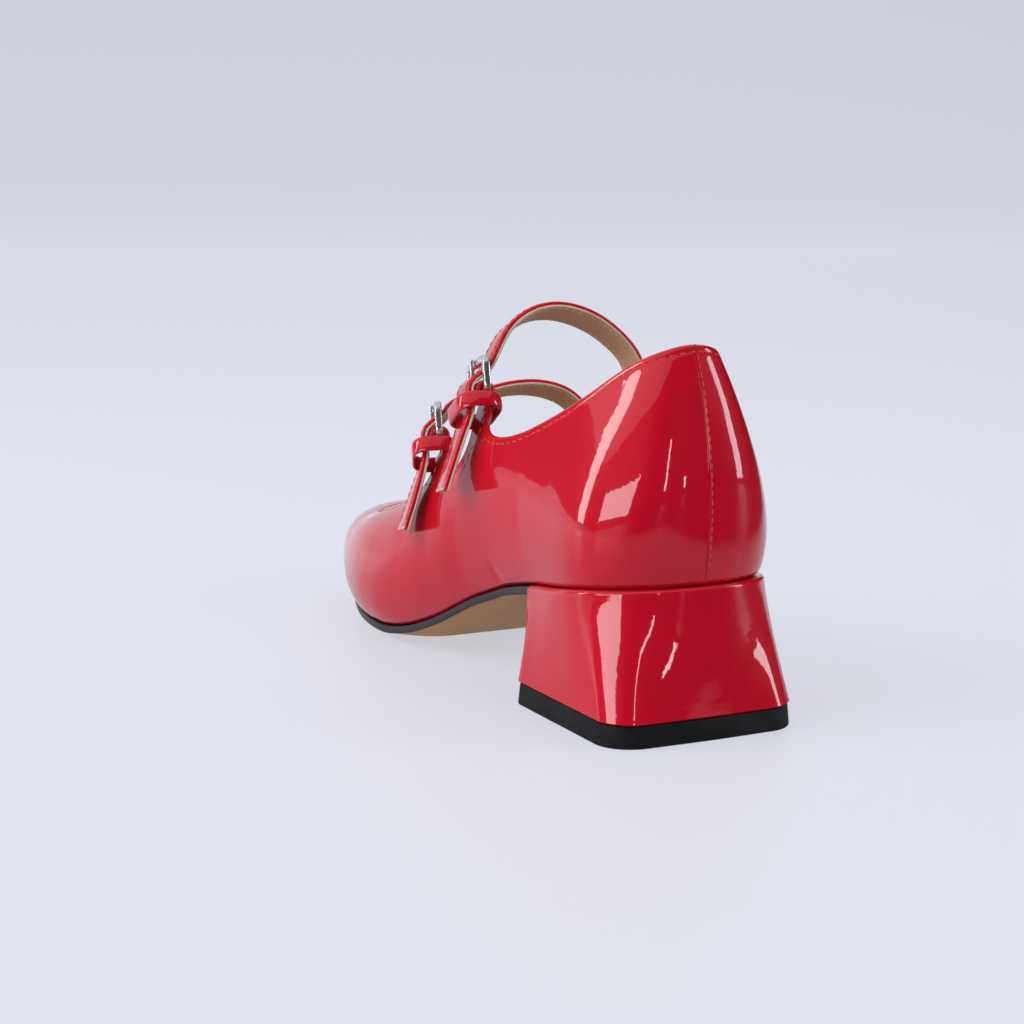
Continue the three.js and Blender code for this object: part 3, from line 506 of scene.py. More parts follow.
    def wall_frame(self, around: Array, level: Array) -> tuple[Array, Array]:
        """One wall point for each pair of place and level, and the direction out of it: at
        right angles to short steps up the wall and round the loop."""
        step = 1e-3
        here = self.wall(around, level[:, None])[:, 0]
        up = self.wall(around, level[:, None] + step)[:, 0] - here
        along = self.wall(around + step, level[:, None])[:, 0] - here
        return here, unit(np.cross(up, along))


class Shape:
    """A mesh in the making: points, four-cornered or three-cornered faces and the number of
    the finish on each face."""

    def __init__(self, points: Array, faces: Array, finish: Array | None = None) -> None:
        """Keeps the arrays; mesh() leaves out the empty half of a face that repeats a corner.

        Args:
            points: Array of points by 3.
            faces: Array of faces by 4; a triangle repeats its last corner.
            finish: Finish number of each face.
        """
        self.points = points
        self.faces = faces
        self.finish = np.zeros(len(faces), int) if finish is None else finish

    def joined(self, other: "Shape") -> "Shape":
        """This shape and another one as one."""
        faces = np.concatenate([self.faces, other.faces + len(self.points)])
        points = np.concatenate([self.points, other.points])
        return Shape(points, faces, np.concatenate([self.finish, other.finish]))

    def free_edges(self) -> tuple[Array, Array]:
        """First and last point of each edge that only one face uses."""
        starts = self.faces.ravel().astype(np.int64)
        ends = self.faces[:, [1, 2, 3, 0]].ravel().astype(np.int64)
        whole = starts != ends
        starts, ends = starts[whole], ends[whole]
        count = len(self.points)
        free = ~np.isin(starts * count + ends, ends * count + starts)
        return starts[free], ends[free]

    def normals(self) -> Array:
        """Direction out of the surface at each point, each face weighing by its area."""
        corners = self.points[self.faces]
        out = np.cross(corners[:, 2] - corners[:, 0], corners[:, 3] - corners[:, 1])
        flat = np.linalg.norm(corners[:, 2] - corners[:, 3], axis=1) < 1e-12
        out[flat] = np.cross(corners[:, 1] - corners[:, 0], corners[:, 2] - corners[:, 0])[flat]
        total = np.zeros_like(self.points)
        for k in range(4):
            np.add.at(total, self.faces[:, k], out)
        return unit(total)

    def mesh(self, name: str, materials: list[Material], sharp: float = 60.0) -> Piece:
        """Makes the Blender object, moved back by half the heel's depth.

        Args:
            name: Name of the piece.
            materials: One material per finish number.
            sharp: Angle in degrees over which an edge is drawn sharp.

        Returns:
            The new object, with its place in its mesh.
        """
        faces = self.faces
        loops = [faces[:, [0, 1, 2]], faces[:, [0, 2, 3]]]
        finish = np.concatenate([self.finish, self.finish])
        triangles = np.concatenate(loops)
        a, b, c = (triangles[:, k] for k in range(3))
        whole = (a != b) & (b != c) & (a != c)
        triangles, finish = triangles[whole], finish[whole]
        data = bpy.data.meshes.new(name)
        data.vertices.add(len(self.points))
        moved = self.points - np.array([0.0, SIZES.heel_depth / 2, 0.0])
        data.vertices.foreach_set("co", moved.astype(np.float32).ravel())
        data.loops.add(triangles.size)
        data.loops.foreach_set("vertex_index", triangles.astype(np.int32).ravel())
        data.polygons.add(len(triangles))
        data.polygons.foreach_set("loop_start", np.arange(0, triangles.size, 3, dtype=np.int32))
        data.polygons.foreach_set("material_index", finish.astype(np.int32))
        data.polygons.foreach_set("use_smooth", np.ones(len(triangles), bool))
        for material in materials:
            data.materials.append(material)
        data.update(calc_edges=True)
        data.validate()
        data.set_sharp_from_angle(angle=math.radians(sharp))
        piece = bpy.data.objects.new(name, data)
        bpy.context.scene.collection.objects.link(piece)
        return piece


def grid_faces(rows: int, columns: int, around: bool = False, along: bool = False) -> Array:
    """Faces of a grid of points numbered row by row.

    Args:
        rows: Number of rows.
        columns: Points in each row.
        around: Whether each row closes on itself.
        along: Whether the last row meets the first.

    Returns:
        Array of faces by 4.
    """
    i = np.arange(rows if along else rows - 1)[:, None]
    k = np.arange(columns if around else columns - 1)[None]
    j = (i + 1) % rows
    m = (k + 1) % columns
    corners = [i * columns + k, j * columns + k, j * columns + m, i * columns + m]
    return np.stack(np.broadcast_arrays(*corners), axis=-1).reshape(-1, 4)


def thicken(sheet: Shape, thickness: float, steps: int = 6, inner_finish: int = 0,
            rim_finish: int = 0) -> Shape:
    """Closed solid of a sheet: the sheet is its outer skin, the inner skin lies one thickness
    behind it, and half circles close it round every free edge.

    Args:
        sheet: Open sheet whose free edges lie half a thickness inside the finished edge.
        thickness: Thickness of the solid.
        steps: Faces round each free edge.
        inner_finish: Finish number of the inner skin.
        rim_finish: Finish number of the rounded edge.

    Returns:
        The closed solid.
    """
    normals = sheet.normals()
    faces = sheet.faces
    count = len(sheet.points)
    a, b = sheet.free_edges()
    run = unit(sheet.points[b] - sheet.points[a])
    away = np.cross(run, unit(normals[a] + normals[b]))
    outward = np.zeros_like(sheet.points)
    np.add.at(outward, a, away)
    np.add.at(outward, b, away)
    outward = unit(outward - normals * np.sum(outward * normals, axis=1, keepdims=True))
    rim = np.unique(a)
    place = np.full(count, -1)
    place[rim] = np.arange(len(rim))
    inner = sheet.points - normals * thickness
    middle = sheet.points[rim] - normals[rim] * thickness / 2
    angles = np.pi * np.arange(1, steps) / steps
    turned = [
        middle + (normals[rim] * np.cos(angle) + outward[rim] * np.sin(angle)) * thickness / 2
        for angle in angles
    ]
    points = np.concatenate([sheet.points, inner, *turned])
    levels = [np.arange(count)]
    levels += [np.where(place >= 0, 2 * count + k * len(rim) + place, -1) for k in range(steps - 1)]
    levels.append(np.arange(count) + count)
    rounds = [
        np.stack([upper[b], upper[a], lower[a], lower[b]], axis=1)
        for upper, lower in zip(levels[:-1], levels[1:])
    ]
    back = faces[:, ::-1] + count
    finish = np.concatenate([
        sheet.finish, np.full(len(faces), inner_finish),
        np.full(len(a) * steps, rim_finish)
    ])
    return Shape(points, np.concatenate([faces, back, *rounds]), finish)


def ladder(lefts: Array, rights: Array, columns: int) -> tuple[Array, Array, Array, Array]:
    """Plan of a plate as rungs between matching left and right edge points.

    Args:
        lefts: Left edge points, one row each.
        rights: Right edge points; a rung of no length is one point.
        columns: Faces across.

    Returns:
        Points, faces, the numbers of the edge points in order, and the share across of each
        point, -1 at the left and 1 at the right.
    """
    rungs = len(lefts)
    share = np.linspace(0, 1, columns + 1)
    points = lefts[:, None] * (1 - share[:, None]) + rights[:, None] * share[:, None]
    number = np.arange(rungs * (columns + 1)).reshape(rungs, columns + 1)
    single = np.linalg.norm(lefts - rights, axis=1) < 1e-9
    number[single] = number[single, :1]
    faces = np.stack([number[:-1, :-1], number[:-1, 1:], number[1:, 1:], number[1:, :-1]], axis=-1)
    loop = np.concatenate([number[:, 0], number[-1, 1:], number[:-1, -1][::-1], number[0, 1:-1][::-1]])
    keep = np.concatenate([[True], loop[1:] != loop[:-1]])
    loop = loop[keep]
    if loop[0] == loop[-1]:
        loop = loop[:-1]
    across = np.broadcast_to(share * 2 - 1, number.shape).ravel()
    return points.reshape(-1, 3), faces.reshape(-1, 4), loop, across


def stack_solid(top: Array, faces: Array, loop: Array, walls: list[Array], bottom: Array) -> Shape:
    """Solid between two plates of one plan with loops of wall points in between.

    Args:
        top: Points of the top plate.
        faces: Faces of the plan, right way round from above.
        loop: Numbers of the plan's edge points in order.
        walls: Wall loops from the top down, each as long as the edge.
        bottom: Points of the bottom plate.

    Returns:
        The closed solid; finish 0 is the top, 1 the wall and 2 the bottom.
    """
    count, edge = len(top), len(loop)
    points = np.concatenate([top, bottom, *walls])
    between = [2 * count + k * edge + np.arange(edge) for k in range(len(walls))]
    levels = [loop, *between, loop + count]
    sides = [
        np.stack([upper, np.roll(upper, -1), np.roll(lower, -1), lower], axis=1)
        for upper, lower in zip(levels[:-1], levels[1:])
    ]
    finish = [np.zeros(len(faces), int), np.full(len(faces), 2), np.full(edge * len(sides), 1)]
    used = np.concatenate([faces, faces[:, ::-1] + count, *sides])
    return compact(Shape(points, used, np.concatenate(finish)))


def compact(shape: Shape) -> Shape:
    """The shape without the points that no face uses."""
    used, inverse = np.unique(shape.faces, return_inverse=True)
    return Shape(shape.points[used], inverse.reshape(shape.faces.shape), shape.finish)


def swept_ring(centres: Array, first: Array, second: Array, section: Array, closed: bool) -> Shape:
    """Profile carried along a path: each section point lies at its two distances along the
    path's own two directions.

    Args:
        centres: Path points.
        first: First direction at each path point.
        second: Second direction at each path point.
        section: Profile points as two distances, one profile or one for each path point.
        closed: Whether the path closes on itself; an open path gets flat ends.

    Returns:
        The closed shape.
    """
    rows, columns = len(centres), section.shape[-2]
    profile = np.broadcast_to(section, (rows, columns, 2))
    points = centres[:, None] + profile[..., :1] * first[:, None]
    points = (points + profile[..., 1:] * second[:, None]).reshape(-1, 3)
    faces = grid_faces(rows, columns, around=True, along=closed)
    if closed:
        return Shape(points, faces)
    caps = np.stack([centres[0], centres[-1]])
    k = np.arange(columns)
    m = (k + 1) % columns
    start, end = len(points), len(points) + 1
    last = (rows - 1) * columns
    front = np.stack([np.full(columns, start), k, m, m], axis=1)
    back = np.stack([np.full(columns, end), last + m, last + k, last + k], axis=1)
    return Shape(np.concatenate([points, caps]), np.concatenate([faces, front, back]))


def outward_facing(shape: Shape) -> Shape:
    """The closed shape with its faces turned outwards, judged by its signed volume."""
    p = shape.points[shape.faces]
    volume = np.einsum("ij,ij->i", p[:, 0], np.cross(p[:, 1], p[:, 2])).sum()
    volume += np.einsum("ij,ij->i", p[:, 0], np.cross(p[:, 2], p[:, 3])).sum()
    return shape if volume > 0 else Shape(shape.points, shape.faces[:, ::-1], shape.finish)


def resample(points: Array, pitch: float, margin: float) -> tuple[Array, Array]:
    """Places at an even pitch along a line.

    Args:
        points: Line of points.
        pitch: Distance from one place to the next.
        margin: Distance left free at both ends.

    Returns:
        The places and the directions of the line there.
    """
    travel = lengths_along(points)
    free = travel[-1] - margin - margin
    count = max(int(free / pitch), 1)
    at = margin + (np.arange(count) + 0.5) * free / count
    step = pitch / 4
    before, spot, after = (
        np.stack([np.interp(at + shift, travel, points[:, k]) for k in range(3)], axis=1)
        for shift in (-step, 0, step)
    )
    return spot, unit(after - before)


def beads(rings: Array) -> Shape:
    """Closed bodies from stacks of six-sided rings, each with two flat ends.

    Args:
        rings: Points in an array of bodies by rings by 6 by 3.

    Returns:
        All bodies as one shape.
    """
    count, rows, sides = rings.shape[:3]
    cap = np.array([[0, 1, 2, 3], [0, 3, 4, 5]])
    one = grid_faces(rows, sides, around=True)
    one = np.concatenate([one, cap, cap[:, ::-1] + (rows - 1) * sides])
    faces = one[None] + (np.arange(count) * rows * sides)[:, None, None]
    return outward_facing(Shape(rings.reshape(-1, 3), faces.reshape(-1, 4)))


@dataclass(frozen=True)
class Stitching:
    """Rows of machine stitches: arched threads between needle holes, whose dark colour is painted shade, in
    metres.
    """

    pitch: float = 0.0028
    thread: float = 0.00018
    length: float = 0.0021
    arch: float = 0.00006
    hole: float = 0.00020
    hole_taper: float = 0.7
    hole_rise: float = 0.00002
    hole_depth: float = 0.00012
    sides: int = 6
    rings: int = 5

    def threads(self, centres: Array, along: Array, out: Array) -> Shape:
        """Threads as arched spindles: radius falls off with the fourth power along each, and
        the middle stands out by a parabola.

        Args:
            centres: Middle of each stitch on the surface.
            along: Direction of each stitch.
            out: Direction out of the surface.

        Returns:
            All threads as one shape.
        """
        s = np.linspace(-1, 1, self.rings + 2)
        turn = 2 * np.pi * np.arange(self.sides) / self.sides
        side = np.cross(out, along)
        radius = self.thread * np.sqrt(np.maximum(1 - s**4, 0.02))
        lift = self.arch * (1 - s**2) - self.thread * 0.25
        line = centres[:, None] + along[:, None] * (s * self.length / 2)[:, None]
        line = line + out[:, None] * lift[:, None]
        round_way = out[:, None, None] * np.cos(turn)[:, None]
        round_way = round_way + side[:, None, None] * np.sin(turn)[:, None]
        return beads(line[:, :, None] + round_way * radius[:, None, None])

    def holes(self, centres: Array, along: Array, out: Array) -> Shape:
        """Needle holes as shallow six-sided buttons at both ends of each stitch."""
        ends = np.concatenate([centres - along * self.pitch / 2, centres + along * self.pitch / 2])
        ways = np.concatenate([along, along])
        outs = np.concatenate([out, out])
        side = np.cross(outs, ways)
        turn = 2 * np.pi * np.arange(self.sides) / self.sides
        ring = ways[:, None] * np.cos(turn)[:, None] + side[:, None] * np.sin(turn)[:, None]
        upper = ends[:, None] + ring * self.hole * self.hole_taper + outs[:, None] * self.hole_rise
        lower = ends[:, None] + ring * self.hole - outs[:, None] * self.hole_depth
        return beads(np.stack([upper, lower], axis=1))


FINE_STITCHES = Stitching(pitch=0.0023, length=0.0017, thread=0.00019, hole=0.00018)


class Tree:
    """Short hand for building one node tree."""

    def __init__(self, tree: bpy.types.NodeTree) -> None:
        """Keeps the tree that nodes are added to."""
        self.tree = tree

    def add(self, kind: str, inputs: dict | None = None, **settings: object) -> Node:
        """Adds a node.

        Args:
            kind: Blender's name of the node type.
            inputs: Values or sockets for named or numbered inputs.
            **settings: Properties of the node itself.

        Returns:
            The new node.
        """
        node = self.tree.nodes.new(kind)
        for key, value in settings.items():
            setattr(node, key, value)
        for key, value in (inputs or {}).items():
            if isinstance(value, Socket):
                self.tree.links.new(value, node.inputs[key])
            else:
                node.inputs[key].default_value = value
        return node

    def link(self, source: Socket, node: Node, key: str | int) -> None:
        """Joins a socket to a node's named or numbered input."""
        self.tree.links.new(source, node.inputs[key])

    def group(self, tree: bpy.types.NodeTree, place: Socket, **values: float) -> Node:
        """Adds a shared group that reads the given coordinates."""
        return self.add("ShaderNodeGroup", {"Vector": place, **values}, node_tree=tree)

    def math(self, operation: str, *values: object) -> Socket:
        """Adds a Math node on two or three values and gives its result."""
        return self.add("ShaderNodeMath", dict(enumerate(values)), operation=operation).outputs[0]

    def mix(self, share: object, first: object, second: object) -> Socket:
        """Adds a colour mix and gives its result."""
        node = self.add("ShaderNodeMix", {0: share, 6: first, 7: second}, data_type="RGBA")
        return node.outputs[2]

    def ramp(self, value: Socket, low: float, high: float) -> Socket:
        """Maps values between low and high to 0..1 and holds them there."""
        node = self.add("ShaderNodeMapRange", {0: value, 1: low, 2: high, 3: 0.0, 4: 1.0})
        return node.outputs[0]


class SharedEffects:
    """Node groups that several finishes use, each built once."""

    def __init__(self) -> None:
        """Builds the groups."""
        self.ripple = self._ripple()
        self.grain = self._grain()
        self.dust = self._dust()
        self.fibre = self._fibre()

    def _group(self, name: str, inputs: dict[str, float], outputs: list[str]) -> tuple[Tree, Node, Node]:
        """New group with a Vector input, named number inputs and named number outputs."""
        tree = bpy.data.node_groups.new(name, "ShaderNodeTree")
        tree.interface.new_socket("Vector", in_out="INPUT", socket_type="NodeSocketVector")
        for key, value in inputs.items():
            socket = tree.interface.new_socket(key, in_out="INPUT", socket_type="NodeSocketFloat")
            socket.default_value = value
        for key in outputs:
            tree.interface.new_socket(key, in_out="OUTPUT", socket_type="NodeSocketFloat")
        build = Tree(tree)
        return build, build.add("NodeGroupInput"), build.add("NodeGroupOutput")

    def _ripple(self) -> bpy.types.NodeTree:
        """Slow waves and a fine orange peel of a glossy coat over leather."""
        build, source, result = self._group("coat_ripple", {"Wave": 60.0, "Peel": 420.0}, ["Height"])
        slow = build.add("ShaderNodeTexNoise", {"Vector": source.outputs[0], "Scale": source.outputs[1],
                                                "Detail": 1.0, "Roughness": 0.35})
        fine = build.add("ShaderNodeTexNoise", {"Vector": source.outputs[0], "Scale": source.outputs[2],
                                                "Detail": 2.0, "Roughness": 0.5})
        total = build.math("MULTIPLY_ADD", fine.outputs[0], 0.05, slow.outputs[0])
        build.link(total, result, "Height")
        return build.tree

    def _grain(self) -> bpy.types.NodeTree:
        """Pebbled cells with pores, as on lining and sole leather."""
        build, source, result = self._group("leather_grain", {"Scale": 900.0}, ["Height", "Pores"])
        cells = build.add("ShaderNodeTexVoronoi", {"Vector": source.outputs[0], "Scale": source.outputs[1]},
                          feature="DISTANCE_TO_EDGE")
        edge = build.ramp(cells.outputs[0], 0.0, 0.12)
        noise = build.add("ShaderNodeTexNoise", {"Vector": source.outputs[0], "Scale": source.outputs[1],
                                                 "Detail": 3.0})
        height = build.math("MULTIPLY", edge, noise.outputs[0])
        pores = build.math("GREATER_THAN", noise.outputs[0], 0.66)
        build.link(height, result, "Height")
        build.link(pores, result, "Pores")
        return build.tree

    def _dust(self) -> bpy.types.NodeTree:
        """Thin uneven film that changes gloss and paleness."""
        build, source, result = self._group("handling_film", {"Scale": 35.0}, ["Film"])
        noise = build.add("ShaderNodeTexNoise", {"Vector": source.outputs[0], "Scale": source.outputs[1],
                                                 "Detail": 5.0, "Roughness": 0.62})
        build.link(build.ramp(noise.outputs[0], 0.42, 0.72), result, "Film")
        return build.tree

    def _fibre(self) -> bpy.types.NodeTree:
        """Long fibres along the toe direction, as on a cut leather sole."""
        build, source, result = self._group("sole_fibre", {"Scale": 260.0}, ["Height"])
        stretched = build.add("ShaderNodeMapping", {"Vector": source.outputs[0], "Scale": (1.0, 0.14, 1.0)})
        noise = build.add("ShaderNodeTexNoise", {"Vector": stretched.outputs[0], "Scale": source.outputs[1],
                                                 "Detail": 4.0, "Roughness": 0.7})
        build.link(noise.outputs[0], result, "Height")
        return build.tree


def new_material(name: str, colour: Triple) -> tuple[Tree, Node, Socket]:
    """Makes a material with a Principled shader.

    Args:
        name: Name of the material.
        colour: Its plain colour, linear.

    Returns:
        The tree, the shader and the Object coordinates.
    """
    material = bpy.data.materials.new(name)
    material.use_nodes = True
    material.diffuse_color = (*colour, 1.0)
    build = Tree(material.node_tree)
    shader = material.node_tree.nodes["Principled BSDF"]
    shader.inputs["Base Color"].default_value = (*colour, 1.0)
    place = build.add("ShaderNodeTexCoord").outputs["Object"]
    return build, shader, place


def material_of(build: Tree) -> Material:
    """The material that a tree belongs to."""
    return next(item for item in bpy.data.materials if item.node_tree == build.tree)


def set_bump(build: Tree, shader: Node, height: Socket, depth: float) -> None:
    """Feeds a height through a Bump node, its depth in metres, into a shader's normals."""
    bump = build.add("ShaderNodeBump", {"Strength": 1.0, "Distance": depth, "Height": height})
    build.link(bump.outputs[0], shader, "Normal")
    build.link(bump.outputs[0], shader, "Coat Normal")


def set_colour(build: Tree, shader: Node, share: Socket, first: Triple, second: Triple) -> None:
    """Feeds a mix of two plain colours into a shader's base colour."""
    build.link(build.mix(share, (*first, 1.0), (*second, 1.0)), shader, "Base Color")


def set_gloss(build: Tree, shader: Node, film: Node, share: float, roughness: float) -> None:
    """Lets a share of the film add to a shader's roughness."""
    build.link(build.math("MULTIPLY_ADD", film.outputs[0], share, roughness), shader, "Roughness")


@dataclass(frozen=True)
class PatentFinish:
    """Bright red patent leather: a coloured base under a clear glossy coat."""

    name: str = "red_patent"
    colour: Triple = (0.62, 0.0008, 0.0200)
    deep: Triple = (0.54, 0.0006, 0.0160)
    roughness: float = 0.34
    film_share: float = 0.05
    specular: float = 0.08
    coat_roughness: float = 0.025
    coat_index: float = 1.55
    wave: float = 62.0
    peel: float = 520.0
    depth: float = 0.00030

    def build(self, effects: SharedEffects) -> Material:
        """Colour drifts a little, the coat ripples and a faint film dulls its gloss."""
        build, shader, place = new_material(self.name, self.colour)
        drift = build.add("ShaderNodeTexNoise", {"Vector": place, "Scale": 22.0, "Detail": 2.0})
        set_colour(build, shader, build.ramp(drift.outputs[0], 0.35, 0.75), self.colour, self.deep)
        set_gloss(build, shader, build.group(effects.dust, place), self.film_share, self.roughness)
        shader.inputs["Specular IOR Level"].default_value = self.specular
        shader.inputs["Coat Weight"].default_value = 1.0
        shader.inputs["Coat Roughness"].default_value = self.coat_roughness
        shader.inputs["Coat IOR"].default_value = self.coat_index
        ripple = build.group(effects.ripple, place, Wave=self.wave, Peel=self.peel)
        set_bump(build, shader, ripple.outputs[0], self.depth)
        return material_of(build)


@dataclass(frozen=True)
class LeatherFinish:
    """Plain leather with a grain: linings, the insole and the sole's cut faces."""

    name: str
    colour: Triple
    dark: Triple
    roughness: float = 0.6
    film_share: float = 0.10
    cloud_share: float = 0.6
    scale: float = 1100.0
    depth: float = 0.00008
    fibres: bool = False

    def build(self, effects: SharedEffects) -> Material:
        """Colour and height follow the grain, with pores a little darker."""
        build, shader, place = new_material(self.name, self.colour)
        grain = build.group(effects.fibre if self.fibres else effects.grain, place, Scale=self.scale)
        cloud = build.add("ShaderNodeTexNoise", {"Vector": place, "Scale": 70.0, "Detail": 4.0})
        share = build.math("MULTIPLY", build.ramp(cloud.outputs[0], 0.30, 0.75), self.cloud_share)
        if not self.fibres:
            share = build.math("MAXIMUM", share, grain.outputs["Pores"])
        set_colour(build, shader, share, self.colour, self.dark)
        set_gloss(build, shader, build.group(effects.dust, place), self.film_share, self.roughness)
        set_bump(build, shader, grain.outputs["Height"], self.depth)
        return material_of(build)


@dataclass(frozen=True)
class RubberFinish:
    """Matt black moulded rubber with a fine pebble and a pale film."""

    name: str = "black_rubber"
    colour: Triple = (0.0035, 0.0036, 0.0042)
    pale: Triple = (0.015, 0.015, 0.017)
    roughness: float = 0.52
    film_scale: float = 90.0
    film_share: float = 0.14
    specular: float = 0.22
    scale: float = 1500.0
    depth: float = 0.00005

    def build(self, effects: SharedEffects) -> Material:
        """Film turns the black paler and duller; the pebble is a fine grain."""
        build, shader, place = new_material(self.name, self.colour)
        film = build.group(effects.dust, place, Scale=self.film_scale)
        set_colour(build, shader, film.outputs[0], self.colour, self.pale)
        set_gloss(build, shader, film, self.film_share, self.roughness)
        shader.inputs["Specular IOR Level"].default_value = self.specular
        grain = build.group(effects.grain, place, Scale=self.scale)
        set_bump(build, shader, grain.outputs["Height"], self.depth)
        return material_of(build)


@dataclass(frozen=True)
class ChromeFinish:
    """Polished plated metal with a trace of handling."""

    name: str = "bright_chrome"
    colour: Triple = (0.86, 0.87, 0.89)
    dull: Triple = (0.70, 0.71, 0.73)
    roughness: float = 0.20
    film_scale: float = 240.0
    film_share: float = 0.13
    wave: float = 260.0
    peel: float = 1800.0
    depth: float = 0.00006

    def build(self, effects: SharedEffects) -> Material:
        """Film roughens the polish; slow ripples are those of a cast frame."""
        build, shader, place = new_material(self.name, self.colour)
        shader.inputs["Metallic"].default_value = 1.0
        film = build.group(effects.dust, place, Scale=self.film_scale)
        set_colour(build, shader, film.outputs[0], self.colour, self.dull)
        set_gloss(build, shader, film, self.film_share, self.roughness)
        ripple = build.group(effects.ripple, place, Wave=self.wave, Peel=self.peel)
        set_bump(build, shader, ripple.outputs[0], self.depth)
        return material_of(build)


@dataclass(frozen=True)
class ThreadFinish:
    """Waxed sewing thread, or the needle holes beside it, coloured dark as painted shade."""

    name: str
    colour: Triple
    dark: Triple
    roughness: float = 0.45
    scale: float = 2600.0
    depth: float = 0.00006

    def build(self, effects: SharedEffects) -> Material:
        """Fine strands: the colour darkens where the stretched fibre noise is low, as painted shade between
        the turns of the thread.
        """
        build, shader, place = new_material(self.name, self.colour)
        strand = build.group(effects.fibre, place, Scale=self.scale)
        set_colour(build, shader, build.ramp(strand.outputs[0], 0.35, 0.70), self.dark, self.colour)
        shader.inputs["Roughness"].default_value = self.roughness
        set_bump(build, shader, strand.outputs[0], self.depth)
        return material_of(build)


class Finishes:
    """Every material of the shoe, built once."""

    def __init__(self) -> None:
        """Builds the shared effects and the materials."""
        effects = SharedEffects()
        self.patent = PatentFinish().build(effects)
        self.heel_patent = PatentFinish(name="red_patent_cover", wave=70.0).build(effects)
        self.lining = LeatherFinish(
            "tan_lining", (0.58, 0.39, 0.235), (0.49, 0.31, 0.175)).build(effects)
        self.strap_lining = LeatherFinish(
            "tan_strap_lining", (0.68, 0.42, 0.27), (0.55, 0.31, 0.18),
            scale=700.0, depth=0.00012).build(effects)
        self.sole = LeatherFinish(
            "natural_sole", (0.60, 0.32, 0.13), (0.52, 0.265, 0.105),
            roughness=0.5, fibres=True, scale=240.0, depth=0.00005).build(effects)
        self.sole_edge = LeatherFinish(
            "dark_sole_edge", (0.020, 0.018, 0.020), (0.034, 0.029, 0.031),
            roughness=0.42, fibres=True, scale=500.0, depth=0.00004).build(effects)
        self.cut_edge = LeatherFinish(
            "pale_cut_edge", (0.74, 0.64, 0.48), (0.52, 0.40, 0.27),
            roughness=0.7, scale=2400.0).build(effects)
        self.rubber = RubberFinish().build(effects)
        self.chrome = ChromeFinish().build(effects)
        self.red_thread = ThreadFinish(
            "red_thread", (0.84, 0.10, 0.06), (0.62, 0.03, 0.02)).build(effects)
        self.tan_thread = ThreadFinish(
            "tan_thread", (0.86, 0.80, 0.70), (0.66, 0.57, 0.44)).build(effects)
        # Needle holes: dark colours that paint the shade inside the holes.
        self.hole = ThreadFinish(
            "needle_hole", (0.16, 0.002, 0.005), (0.10, 0.001, 0.003), 0.6).build(effects)
        self.tan_hole = ThreadFinish(
            "tan_needle_hole", (0.22, 0.12, 0.06), (0.12, 0.06, 0.03), 0.7).build(effects)


def place_piece(piece: Piece, role: Role, *nodes: str) -> Piece:
    """Fixes a piece to the shoe and hides the CAD nodes that it replaces.

    Args:
        piece: The finished object.
        role: Material slot of the record; not used.
        *nodes: CAD nodes that it replaces.

    Returns:
        The piece.
    """
    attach(piece, "root")
    if nodes:
        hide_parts(*nodes)
    LOG.info("%s: %d triangles", piece.name, len(piece.data.polygons))
    return piece


def sew(name: str, rows: list[tuple[Array, Array]], stitching: Stitching, thread: Material,
        hole: Material, role: Role) -> Piece:
    """Sews rows of stitches as one piece.

    Args:
        name: Name of the piece.
        rows: Each row's line of points and the surface directions along it.
        stitching: Sizes of the stitches.
        thread: Material of the threads.
        hole: Material of the needle holes, dark as painted shade.
        role: Material slot of the record.

    Returns:
        The piece.
    """
    shapes = []
    for line, out in rows:
        centres, along = resample(line, stitching.pitch, 0.0004)
        travel = lengths_along(line)
        spot = lengths_along(np.concatenate([line[:1], centres]))[1:]
        spot = spot * (travel[-1] - stitching.pitch / 2) / max(spot[-1], 1e-9)
        normal = unit(np.stack([np.interp(spot, travel, out[:, k]) for k in range(3)], axis=1))
        along = unit(along - normal * np.sum(along * normal, axis=1, keepdims=True))
        threads = stitching.threads(centres, along, normal)
        holes = stitching.holes(centres, along, normal)
        # Holes take the second material, dark as painted shade in the needle holes.
        holes.finish = holes.finish + 1
        shapes += [threads, holes]
    whole = shapes[0]
    for shape in shapes[1:]:
        whole = whole.joined(shape)
    return place_piece(whole.mesh(name, [thread, hole]), role)


